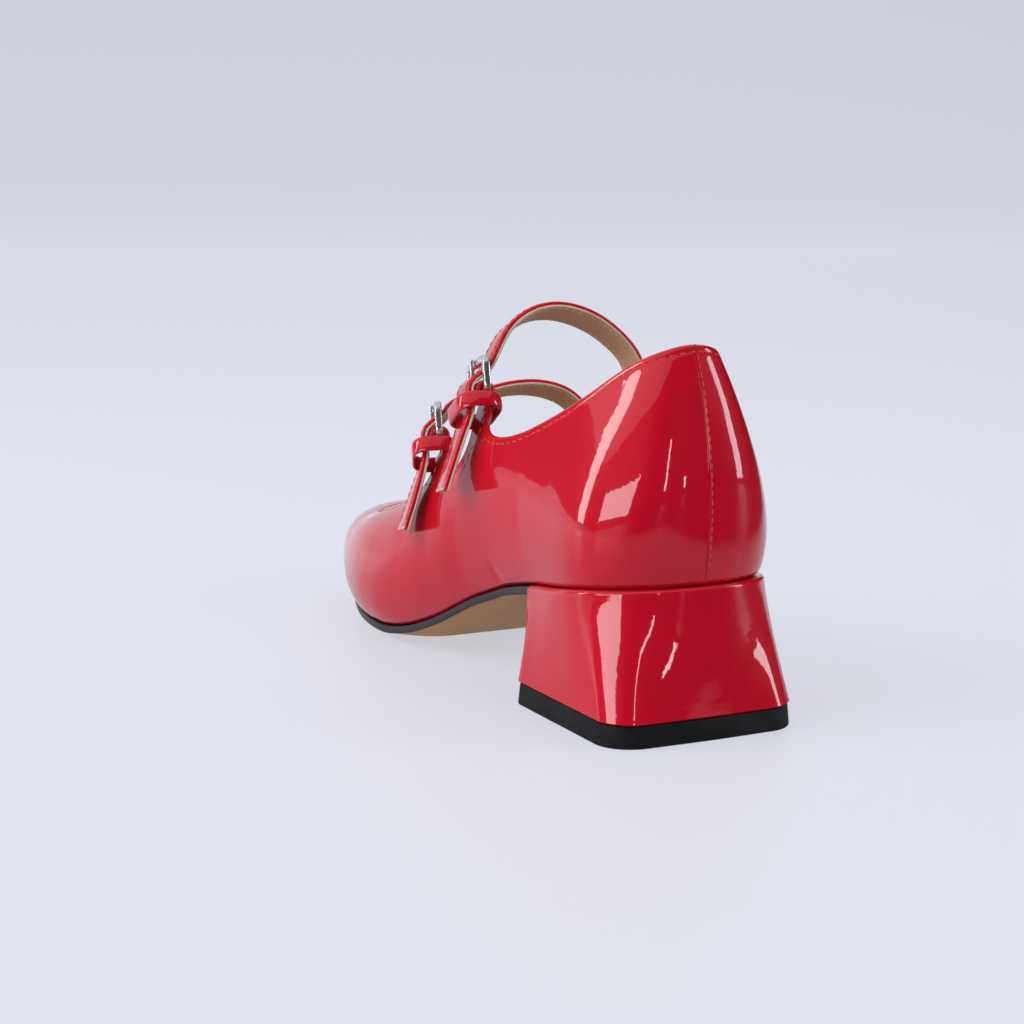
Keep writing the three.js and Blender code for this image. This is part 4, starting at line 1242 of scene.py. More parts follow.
@dataclass
class Upper:
    """The shell with its tabs, its lining, its back seam and its rows of stitches."""

    form: UpperForm
    finishes: Finishes
    stops: int = 330
    wall_rows: int = 34
    corner_rows: int = 7
    tab_columns: int = 13
    tab_rows: int = 20
    fold_rows: int = 16
    fold_tail: float = 0.0026
    fold_steps: Triple = (0.4, 0.75, 1.0)
    blend_length: float = 0.007
    tab_zone: float = 0.06
    head_search: float = 0.05
    flare_reach: float = 1.35
    flank_places: int = 26
    closest: float = 1.5e-4
    seam_room: float = 1.5
    band: float = 0.0050
    lining_thickness: float = 0.00045
    lining_bite: float = 0.00003
    stitch_drop: float = 0.0023
    seam_depth: float = 0.00030
    seam_width: float = 0.00022
    lap_depth: float = 0.00012
    lap_width: float = 0.0014
    groove_depth: float = 0.00010
    groove_width: float = 0.00040
    rear_break: float = 0.0015
    middle_break: float = 0.0006
    front_break: float = 0.0008
    rear_offsets: tuple[float, ...] = (-0.0085, -0.0035, 0.0010, 0.0012, 0.0030, 0.0060)
    rear_drops: tuple[float, ...] = (0.0005, 0.0005, 0.0012, 0.0045, 0.0070, 0.0080)
    front_offsets: tuple[float, ...] = (-0.0040, 0.0040)
    front_drops: tuple[float, ...] = (0.0005, 0.0005)
    tab_row_start: float = 0.0015
    tab_row_end: float = 0.002
    tab_row_half: float = 0.0038
    back_row_levels: tuple[float, float] = (0.965, 0.075)
    back_row_shift: float = 0.00062
    back_row_lift: float = 0.0001
    perimeter: float = 0.545
    fine_rim: tuple[float, ...] = (
        0.0, 0.0003, 0.0006, 0.0009, 0.0011, 0.0013, 0.0015, 0.0017, 0.0020, 0.0024, 0.0029,
        0.0035, 0.0041, 0.0050, 0.0060,
    )
    seam_spots: tuple[float, ...] = (0.0, 0.00012, 0.00024, 0.00036, 0.0005, 0.0008, 0.0014, 0.0024)
    grid: dict[str, Array] = field(default_factory=dict)

    @property
    def edge(self) -> float:
        """Radius of the folded rim."""
        return SIZES.wall / 2

    def _tab_half(self) -> float:
        """Half width of a tab's sheet, inside its rounded edges."""
        return SIZES.strap_width / 2 - self.edge

    def _loop_places(self) -> Array:
        """Loop places: even round the shoe, crowded at the back seam and beside the tabs,
        where their distance from a tab's edge grows with the square of their number."""
        even = np.arange(self.stops) / self.stops
        free = np.ones(len(even), bool)
        for tab in self.form.tabs:
            free &= np.abs(even - tab.root_at) > self.tab_zone
        spots = np.array(self.seam_spots) / self.perimeter
        even = even[free & (np.minimum(even, 1 - even) > spots[-1] * self.seam_room)]
        places = [even, spots, 1 - spots[1:]]
        growth = self.flare_reach * (np.arange(1, self.flank_places + 1) / self.flank_places) ** 2
        half = self._tab_half()
        heads = []
        for tab in self.form.tabs:
            rear = -half - tab.fastening.rear_flare * growth
            front = half + tab.fastening.front_flare * growth
            head = np.linspace(-half, half, self.tab_columns)
            heads.append(self.form.around_for(tab, head))
            places.append(self.form.around_for(tab, np.concatenate([rear, head, front])))
        merged = np.unique(np.concatenate(places))
        fixed = np.concatenate(heads)
        keep = [merged[0]]
        for place in merged[1:]:
            if place - keep[-1] > self.closest:
                keep.append(place)
            elif np.any(np.abs(fixed - place) < 1e-12):
                keep[-1] = place
        return np.array(keep)

    def _reaches(self, around: Array) -> Array:
        """Shares of each wall's length from the rim down to the feather corner."""
        length = self.form.wall_length(around)
        rise, _ = self.form.bell(around, self._tab_half())
        full = 1 + (rise - self.edge) / length
        fine = full[:, None] - np.array(self.fine_rim)[None] / length[:, None]
        start = SIZES.corner / length
        share = np.linspace(0, 1, self.wall_rows + 1)[1:]
        low = fine[:, -1:] + (start[:, None] - fine[:, -1:]) * share
        return np.concatenate([fine, low], axis=1)

    def _skin(self, around: Array) -> Array:
        """Outer skin from the rim down the wall, round the feather corner (a quadratic curve
        from the wall to the margin) and in along the turned-under margin."""
        rise, way = self.form.bell(around, self._tab_half())
        reach = self._reaches(around)
        level = np.minimum(reach, 1.0)
        wall = self.form.wall(around, level)
        c = self.form.controls(around)
        own = unit(c[:, 3] - c[:, 2])
        share = np.sqrt(np.minimum(rise / self.form.tab_bell, 1.0))[:, None]
        heading = unit(own * (1 - share) + way * share)
        beyond = np.maximum(reach - 1.0, 0.0) * self.form.wall_length(around)[:, None]
        wall = wall + heading[:, None] * beyond[..., None]
        t = (np.arange(1, self.corner_rows + 1) / self.corner_rows)[None, :, None]
        foot = self.form.foot(around, 0.0)[:, None]
        inner = self.form.foot(around, SIZES.corner)[:, None]
        corner = (1 - t) ** 2 * wall[:, -1:] + 2 * t * (1 - t) * foot + t**2 * inner
        margin = self.form.foot(around, SIZES.margin - self.edge)[:, None]
        self.grid["reach"] = reach
        return np.concatenate([wall, corner, margin], axis=1)

    def _relief(self, around: Array, reach: Array) -> Array:
        """Depth of the creases and the back seam: each crease is a bell curve of its two
        turned distances, the seam a bell curve of the distance from the back."""
        total = np.zeros_like(reach)
        length = self.form.wall_length(around)[:, None]
        for crease in CREASES:
            x = (around[:, None] - crease.around) * self.perimeter
            z = (reach - crease.height) * length
            turn = math.radians(crease.turn)
            along = x * math.cos(turn) + z * math.sin(turn)
            across = -x * math.sin(turn) + z * math.cos(turn)
            fall = (along / crease.half_long) ** 2 + (across / crease.half_wide) ** 2
            total += crease.depth * np.exp(-fall)
        back = np.minimum(around, 1 - around)[:, None] * self.perimeter
        total += self.seam_depth * np.exp(-(back / self.seam_width) ** 2)
        lap = np.where(around > 0.5, 1.0, 0.0)[:, None]
        total -= self.lap_depth * lap * np.exp(-(back / self.lap_width) ** 2)
        return total

    def _strip(self, tab: Tab, heads: Array, start: Array, main: Array) -> tuple[Array, Array]:
        """Tab strip above the bell: straight up to the lower bar, blended from the bell's own
        curve, then half a turn round the bar and a short fold down.

        Args:
            tab: The tab.
            heads: Numbers of the head columns' top points in the main grid.
            start: Those points.
            main: Number of points made so far.

        Returns:
            New points and the faces that join them on.
        """
        item = tab.fastening
        across = item.axes()[0]
        width = np.linspace(-self._tab_half(), self._tab_half(), self.tab_columns)
        first = self.form.tab_bell - self.edge
        travel = np.linspace(0, tab.reach - first, self.tab_rows + 1)[1:]
        plain = tab.root + (first + travel)[:, None] * tab.direction
        plain = plain[:, None] + width[None, :, None] * across
        own = start[None] + travel[:, None, None] * tab.direction
        blend = smooth(travel / self.blend_length)[:, None, None]
        straight = own * (1 - blend) + plain * blend
        angle = np.linspace(0, np.pi, self.fold_rows + 1)
        radius = SIZES.fold_radius - SIZES.wall / 2
        rises = SIZES.lower_bar + radius * np.sin(angle)
        outs = -radius * np.cos(angle)
        fold = item.at(width[None], rises[:, None], outs[:, None])
        end = np.array(self.fold_steps) * (self.fold_tail - self.edge)
        tail = item.at(width[None], SIZES.lower_bar - end[:, None], np.float64(radius))
        rows = np.concatenate([straight, fold[1:], tail])
        count = len(rows) * self.tab_columns
        numbers = np.concatenate([heads[None], main + np.arange(count).reshape(len(rows), -1)])
        faces = np.stack([numbers[:-1, :-1], numbers[1:, :-1], numbers[1:, 1:], numbers[:-1, 1:]], axis=-1)
        return rows.reshape(-1, 3), faces.reshape(-1, 4)

    def _rim_distance(self, sheet: Shape, rows: int, count: int) -> Array:
        """Shortest distance of the upper rows of the main grid from the sheet's free rim."""
        rim = sheet.points[np.unique(sheet.free_edges()[0])]
        near = sheet.points[: count * rows].reshape(count, rows, 3)[:, : len(self.fine_rim) + 14]
        low = near[..., 2].min() - 0.002
        rim = rim[rim[:, 2] > low]
        best = np.full(near.shape[:2], 1.0)
        for part in np.array_split(rim, max(len(rim) // 60, 1)):
            best = np.minimum(best, np.linalg.norm(near[:, :, None] - part, axis=3).min(axis=2))
        return best

    def _drop_line(self, drop: float, chosen: Array) -> tuple[Array, Array]:
        """Line at a given distance from the rim: on each chosen column the place between the
        last row nearer than the distance and the first row beyond it.

        Args:
            drop: Distance from the finished rim.
            chosen: Numbers of the columns, in order.

        Returns:
            Points and surface directions.
        """
        distance = self.grid["rim"][chosen] + self.edge
        points = self.grid["points"][chosen][:, : distance.shape[1]]
        normals = self.grid["normals"][chosen][:, : distance.shape[1]]
        beyond = np.argmax(distance >= drop, axis=1)
        beyond = np.where(distance.max(axis=1) >= drop, np.maximum(beyond, 1), distance.shape[1] - 1)
        i = np.arange(len(chosen))
        low, high = distance[i, beyond - 1], distance[i, beyond]
        share = np.clip((drop - low) / np.maximum(high - low, 1e-9), 0, 1)[:, None]
        line = points[i, beyond - 1] * (1 - share) + points[i, beyond] * share
        way = unit(normals[i, beyond - 1] * (1 - share) + normals[i, beyond] * share)
        return line, way

    def _on_wall(self, tab: Tab, offsets: Array, drops: Array) -> tuple[Array, Array]:
        """Line on the wall below a tab, given by offsets from its middle and by drops below
        the plain topline."""
        dense = np.linspace(0, 1, 60)
        key = np.linspace(0, 1, len(offsets))
        offset = np.interp(dense, key, offsets)
        drop = np.interp(dense, key, drops)
        around = self.form.around_for(tab, offset)
        length = self.form.wall_length(around)
        return self.form.wall_frame(around, 1 - drop / length)

    def build(self) -> list[Piece]:
        """Builds the shell, the lining and the stitches."""
        around = self._loop_places()
        skin = self._skin(around)
        count, rows = skin.shape[:2]
        faces = grid_faces(count, rows, along=True)
        points = [skin.reshape(-1, 3)]
        strips = [faces]
        total = count * rows
        half = self._tab_half()
        for tab in self.form.tabs:
            offset = self.form.tab_offset(around, tab)
            near = np.abs(around - tab.root_at) < self.head_search
            heads = np.where((np.abs(offset) <= half + self.form.tab_slack) & near)[0]
            if len(heads) != self.tab_columns:
                raise ValueError(f"tab {tab.fastening.name} has {len(heads)} head columns")
            extra, more = self._strip(tab, heads * rows, skin[heads, 0], total)
            points.append(extra)
            strips.append(more)
            total += len(extra)
        sheet = Shape(np.concatenate(points), np.concatenate(strips))
        normals = sheet.normals()
        grid_normals = normals[: count * rows].reshape(count, rows, 3)
        self.grid["rim"] = self._rim_distance(sheet, rows, count)
        fine = self.grid["rim"].shape[1]
        depth = np.zeros((count, rows))
        levels = self.grid["reach"].shape[1]
        depth[:, :levels] = self._relief(around, self.grid["reach"])
        away = self.grid["rim"] + self.edge - self.stitch_drop
        depth[:, :fine] += self.groove_depth * np.exp(-(away / self.groove_width) ** 2)
        sheet.points[: count * rows] -= normals[: count * rows] * depth.reshape(-1, 1)
        self.grid.update(points=sheet.points[: count * rows].reshape(count, rows, 3), normals=grid_normals)
        solid = thicken(sheet, SIZES.wall)
        on_wall = sheet.faces.max(axis=1) < count * rows
        below_band = sheet.faces.min(axis=1) % rows >= self.fine_rim.index(self.band)
        inner = slice(len(sheet.faces), 2 * len(sheet.faces))
        solid.finish[inner] = np.where(on_wall & below_band, 1, 0)
        shell = solid.mesh("upper_shell", [self.finishes.patent, self.finishes.lining])
        shell = place_piece(shell, Role.PATENT, "upper")
        return [shell, self._lining(count, rows, levels), *self._stitches(around)]

    def _lining(self, count: int, rows: int, levels: int) -> Piece:
        """Tan lining: the shell's inner skin moved in by its own thickness, from the folded
        band down to the margin."""
        first = self.fine_rim.index(self.band)
        points = self.grid["points"][:, first:levels]
        normals = self.grid["normals"][:, first:levels]
        inner = points - normals * (SIZES.wall + self.lining_thickness - self.lining_bite)
        faces = grid_faces(count, points.shape[1], along=True)[:, ::-1]
        solid = thicken(Shape(inner.reshape(-1, 3), faces), self.lining_thickness, steps=4)
        return place_piece(solid.mesh("upper_lining", [self.finishes.lining]), Role.LINING)

    def _stitches(self, around: Array) -> list[Piece]:
        """Collar row, the rows up the tabs and down from them, and the back seam's row."""
        rear, front = self.form.tabs
        half = self._tab_half()
        rear_offset = self.form.tab_offset(around, rear)
        front_offset = self.form.tab_offset(around, front)
        number = np.arange(len(around))
        before = number[(around < rear.root_at) & (rear_offset < -half - self.rear_break)]
        between = number[(around > rear.root_at) & (around < front.root_at)
                         & (rear_offset > half + self.middle_break)
                         & (front_offset < -half - self.middle_break)]
        beyond = (front_offset > half + self.front_break) | (around > self.form.toe)
        after = number[(around > front.root_at) & beyond]
        rows = [self._drop_line(self.stitch_drop, np.concatenate([after, before]))]
        rows.append(self._drop_line(self.stitch_drop, between))
        rows.append(self._on_wall(rear, np.array(self.rear_offsets), np.array(self.rear_drops)))
        rows.append(self._on_wall(front, np.array(self.front_offsets), np.array(self.front_drops)))
        for tab in (rear, front):
            across = tab.fastening.axes()[0]
            face = unit(np.cross(tab.direction, across))
            for side in (-1.0, 1.0):
                travel = np.linspace(self.tab_row_start, tab.reach - self.tab_row_end, 40)
                line = tab.root + travel[:, None] * tab.direction + side * self.tab_row_half * across
                rows.append((line, np.broadcast_to(face, line.shape)))
        share = np.linspace(*self.back_row_levels, 60)
        line, out = self.form.wall_frame(np.full(60, 1 - self.back_row_shift / self.perimeter), share)
        back = (line + out * self.back_row_lift, out)
        thread, hole = self.finishes.red_thread, self.finishes.hole
        return [
            sew("upper_stitches", rows, Stitching(), thread, hole, Role.PATENT),
            sew("back_seam_stitches", [back], FINE_STITCHES, thread, hole, Role.PATENT),
        ]


BOARD_SHARP = 40.0


@dataclass
class Soles:
    """Outsole with its dark edge and natural tread, and the insole inside."""

    form: UpperForm
    finishes: Finishes
    rungs: int = 90
    columns: int = 30
    top_inset: float = 0.00035
    edge_profile: tuple[tuple[float, float], ...] = (
        (0.00010, 0.00010), (0.0, 0.00035), (0.0, 0.0010), (0.0, 0.0017), (0.00012, 0.00215),
        (0.00040, SIZES.outsole), (0.00105, SIZES.outsole),
    )
    tread_inset: float = 0.00130
    tread_slack: float = 0.00002
    crown_at: float = 0.156
    crown_flat: float = 0.4
    crown_half: float = 0.012
    toe_crowding: float = 0.45
    insole_thickness: float = 0.0022
    insole_inset: float = 0.0049
    insole_room: float = 0.0009
    insole_lift: float = 0.00045
    insole_soft: float = 0.0006
    insole_step: float = 0.0003

    def _side_place(self, y: float, inner: bool) -> float:
        """Loop place where the feather edge reaches a length on one side."""
        dense = np.linspace(1.0 if inner else 0.0, self.form.toe, 4000)
        return float(np.interp(y, self.form.column["foot_y"](dense), dense))

    def _outsole_plan(self, inset: float) -> tuple[Array, Array]:
        """Left and right edge of the outsole, from the heel's breast to the toe."""
        rear = SIZES.breast + SIZES.clearance
        share = np.arange(self.rungs + 1) / self.rungs
        share = share + self.toe_crowding * (np.sin(np.pi / 2 * share) - share)
        edges = []
        for inner in (False, True):
            start = self._side_place(rear, inner)
            around = start + (self.form.toe - start) * share
            edge = self.form.foot(around, inset - SIZES.outsole_proud)
            edge[0, 1] = rear + max(inset, 0.0)
            edges.append(edge)
        edges[1][-1] = edges[0][-1]
        return edges[0], edges[1]

    def outsole(self) -> Piece:
        """Board with a rounded dark edge; the tread bulges below the rim by the rim's lowest
        height over its middle and falls away with the square of the distance beyond it."""
        crown = float(rim_height(np.array([self.crown_at]))[0])
        top, faces, loop, _ = ladder(*self._outsole_plan(self.top_inset), self.columns)
        top[:, 2] = seat_height(top[:, 1]) - SIZES.clearance
        walls = []
        for inset, drop in self.edge_profile:
            edge = ladder(*self._outsole_plan(inset), self.columns)[0][loop]
            edge[:, 2] = seat_height(edge[:, 1]) - SIZES.clearance - drop
            walls.append(edge)
        left, right = self._outsole_plan(self.tread_inset)
        bottom, _, _, across = ladder(left, right, self.columns)
        half = np.repeat(np.linalg.norm(left - right, axis=1) / 2, self.columns + 1)
        fall = np.clip((np.abs(across) - self.crown_flat) / (1 - self.crown_flat), 0, 1)
        bulge = crown * np.minimum(half / self.crown_half, 1.0) * (1 - fall**2)
        bottom[:, 2] = rim_height(bottom[:, 1]) - bulge
        solid = stack_solid(top, faces, loop, walls, bottom)
        middle = solid.points[solid.faces].mean(axis=1)
        under = (solid.finish == 1) & (middle[:, 2] < rim_height(middle[:, 1]) + self.tread_slack)
        solid.finish[:] = np.where((solid.finish == 2) | under, 1, 0)
        materials = [self.finishes.sole_edge, self.finishes.sole]
        piece = outward_facing(solid).mesh("outsole_board", materials, BOARD_SHARP)
        return place_piece(piece, Role.SOLE, "outsole")

    def _insole_plan(self, inset: float) -> tuple[Array, Array]:
        """Left and right edge of the insole from the back to the toe."""
        share = np.arange(self.rungs + 1) / self.rungs
        share = share + 0.5 * (smooth(share) - share)
        left = self.form.foot(self.form.toe * share, inset)
        right = self.form.foot(1 - (1 - self.form.toe) * share, inset)
        right[0], right[-1] = left[0], left[-1]
        return left, right

    def insole(self) -> Piece:
        """Board on the turned-under margin, its top edge rounded and its middle let down
        inside the margin."""
        base = SIZES.wall + self.insole_lift
        step = SIZES.margin + self.insole_room
        soft = self.insole_soft
        top, faces, loop, _ = ladder(*self._insole_plan(self.insole_inset + soft), self.columns)
        top[:, 2] = seat_height(top[:, 1]) + base + self.insole_thickness
        profile = (
            (self.insole_inset + soft * 0.3, base + self.insole_thickness - soft * 0.15),
            (self.insole_inset, base + self.insole_thickness - soft),
            (self.insole_inset, base), (step, base),
        )
        walls = []
        for inset, height in profile:
            edge = ladder(*self._insole_plan(inset), self.columns)[0][loop]
            edge[:, 2] = seat_height(edge[:, 1]) + height
            walls.append(edge)
        bottom = ladder(*self._insole_plan(step + self.insole_step), self.columns)[0]
        bottom[:, 2] = seat_height(bottom[:, 1])
        solid = outward_facing(stack_solid(top, faces, loop, walls, bottom))
        solid.finish[:] = 0
        piece = solid.mesh("insole_board", [self.finishes.lining], BOARD_SHARP)
        return place_piece(piece, Role.LINING, "insole")


@dataclass
class Heel:
    """Covered block with a rounded seat rim, and the rubber lift below it."""

    form: UpperForm
    finishes: Finishes
    count: int = 60
    columns: int = 16
    corner_rear: float = 0.0085
    corner_front: float = 0.0025
    bow: float = 0.0008
    rim_proud: float = 0.0016
    rim_round: float = 0.0014
    rim_drop: float = 0.0011
    breast_overlap: float = 0.0006
    seat_gap: float = 0.00006
    base_soft: float = 0.0004
    lift_soft: float = 0.00035
    lift_flare: float = 0.0005
    flare_power: float = 1.25
    levels: int = 26
    pull: float = 0.17

    def _base_half(self, inset: float, side: float) -> Array:
        """Half of the base's outline from the middle of its rear edge round to its front
        corner: two straights and two quadratic corners, at even steps of length."""
        w = SIZES.heel_width / 2 - inset
        r, f = self.corner_rear - inset, self.corner_front - inset
        rear, front = inset, SIZES.heel_depth - inset
        t = np.linspace(0, 1, 24)[:, None]

        def corner(a: Array, b: Array, c: Array) -> Array:
            """Quadratic curve from a to c pulled towards b."""
            return (1 - t) ** 2 * a + 2 * t * (1 - t) * b + t**2 * c

        rear_pull, front_pull = self.pull * r, self.pull * f
        line = np.concatenate([
            np.array([[0.0, rear]]),
            corner(np.array([w - r, rear]), np.array([w - rear_pull, rear + rear_pull]),
                   np.array([w, rear + r])),
            corner(np.array([w, front - f]), np.array([w - front_pull, front - front_pull]),
                   np.array([w - f, front])),
        ])
        travel = lengths_along(line)
        at = np.linspace(0, travel[-1], self.count + 1)
        x = np.interp(at, travel, line[:, 0])
        y = np.interp(at, travel, line[:, 1])
        y = y + self.bow * (x / w) ** 1.5 * (1 - y / SIZES.heel_depth)
        return np.stack([x * side, y, np.zeros_like(x)], axis=1)

    def _top_half(self, inset: float, inner: bool) -> Array:
        """Half of the seat's outline from the back to the breast."""
        dense = np.linspace(1.0 if inner else 0.0, self.form.toe, 4000)
        along = self.form.column["foot_y"](dense)
        end = float(np.interp(SIZES.breast - self.breast_overlap, along, dense))
        start = 1.0 if inner else 0.0
        around = start + (end - start) * np.arange(self.count + 1) / self.count
        edge = self.form.foot(around, inset)
        edge[-1, 1] = SIZES.breast
        return edge

    def _base_plan(self, inset: float) -> tuple[Array, Array]:
        """Both halves of the base's outline, with one shared point at the back."""
        left, right = self._base_half(inset, -1.0), self._base_half(inset, 1.0)
        right[0] = left[0]
        return left, right

    def _top_plan(self, inset: float) -> tuple[Array, Array]:
        """Both halves of the seat's outline, with one shared point at the back."""
        left, right = self._top_half(inset, False), self._top_half(inset, True)
        right[0] = left[0]
        return left, right

    def _seat_loop(self, inset: float, drop: float, loop: Array) -> Array:
        """Edge of the seat moved in by an inset and down by a drop."""
        edge = ladder(*self._top_plan(inset), self.columns)[0][loop]
        edge[:, 2] = seat_height(edge[:, 1]) - self.seat_gap - drop
        return edge

    def block(self) -> Piece:
        """Loft from the seat's rounded rim to the base: the plan goes over with the power of
        the height share, the height evenly."""
        plan = self._top_plan(self.rim_round - self.rim_proud)
        top, faces, loop, _ = ladder(*plan, self.columns)
        top[:, 2] = seat_height(top[:, 1]) - self.seat_gap
        walls = []
        for angle in np.linspace(0, np.pi / 2, 8)[1:]:
            inset = -self.rim_proud + self.rim_round * (1 - math.sin(angle))
            walls.append(self._seat_loop(inset, self.rim_drop * (1 - math.cos(angle)), loop))
        rim = walls[-1]
        floor = SIZES.lift + SIZES.clearance
        base = ladder(*self._base_plan(0.0), self.columns)[0][loop]
        for t in np.linspace(0, 1, self.levels + 1)[1:]:
            flare = t**self.flare_power
            ring = rim * (1 - flare) + base * flare
            ring[:, 2] = rim[:, 2] + (floor + self.base_soft - rim[:, 2]) * t
            walls.append(ring)
        bottom = ladder(*self._base_plan(self.base_soft), self.columns)[0]
        bottom[:, 2] = floor
        last = walls[-1] * 0.3 + bottom[loop] * 0.7
        last[:, 2] = floor + self.base_soft * 0.3
        walls.append(last)
        solid = outward_facing(stack_solid(top, faces, loop, walls, bottom))
        solid.finish[:] = 0
        piece = solid.mesh("heel_cover", [self.finishes.heel_patent], BOARD_SHARP)
        return place_piece(piece, Role.COVER, "heel_block")

    def lift(self) -> Piece:
        """Rubber lift with softened edges and a slight outward flare."""
        soft, flare, top = self.lift_soft, self.lift_flare, SIZES.lift
        plans = (
            (flare + soft, top), (flare + soft * 0.3, top - soft * 0.15), (flare, top - soft),
            (0.0, soft * 1.4), (soft * 0.3, soft * 0.3), (soft * 1.4, 0.0),
        )
        rings = []
        for inset, height in plans:
            ring, faces, loop, _ = ladder(*self._base_plan(inset), self.columns)
            ring[:, 2] = height
            rings.append(ring)
        walls = [ring[loop] for ring in rings[1:-1]]
        solid = outward_facing(stack_solid(rings[0], faces, loop, walls, rings[-1]))
        solid.finish[:] = 0
        piece = solid.mesh("rubber_lift", [self.finishes.rubber], BOARD_SHARP)
        return place_piece(piece, Role.RUBBER, "heel_lift")


def centripetal(points: Array, at: Array) -> Array:
    """Smooth curve through points: between two of them a cubic whose end slopes weigh the
    neighbouring chords by the square roots of their lengths.

    Args:
        points: Points that the curve passes.
        at: Places in point numbers.

    Returns:
        Points on the curve.
    """
    whole = np.concatenate([[2 * points[0] - points[1]], points, [2 * points[-1] - points[-2]]])
    i = np.clip(np.floor(at).astype(int), 0, len(points) - 2)
    p0, p1, p2, p3 = (whole[i + k] for k in range(4))
    chords = ((p0, p1), (p1, p2), (p2, p3))
    d0, d1, d2 = (np.sqrt(np.linalg.norm(b - a, axis=1))[:, None] for a, b in chords)
    t1 = ((p1 - p0) / d0 - (p2 - p0) / (d0 + d1) + (p2 - p1) / d1) * d1
    t2 = ((p2 - p1) / d1 - (p3 - p1) / (d1 + d2) + (p3 - p2) / d2) * d1
    t = (at - i)[:, None]
    c2 = -3 * p1 + 3 * p2 - 2 * t1 - t2
    c3 = 2 * p1 - 2 * p2 + t1 + t2
    return p1 + t1 * t + c2 * t**2 + c3 * t**3


def soften(values: Array, reach: int) -> Array:
    """Moving mean with a bell-shaped weight along a line; both ends stay where they are.

    Args:
        values: Points or directions, one row each.
        reach: Rows that count on either side.

    Returns:
        The softened rows.
    """
    weight = np.hanning(2 * reach + 3)[1:-1]
    weight = weight / weight.sum()
    before = 2 * values[:1] - values[reach:0:-1]
    after = 2 * values[-1:] - values[-2 : -reach - 2 : -1]
    padded = np.concatenate([before, values, after])
    return np.stack([np.convolve(padded[:, k], weight, "valid") for k in range(3)], axis=1)


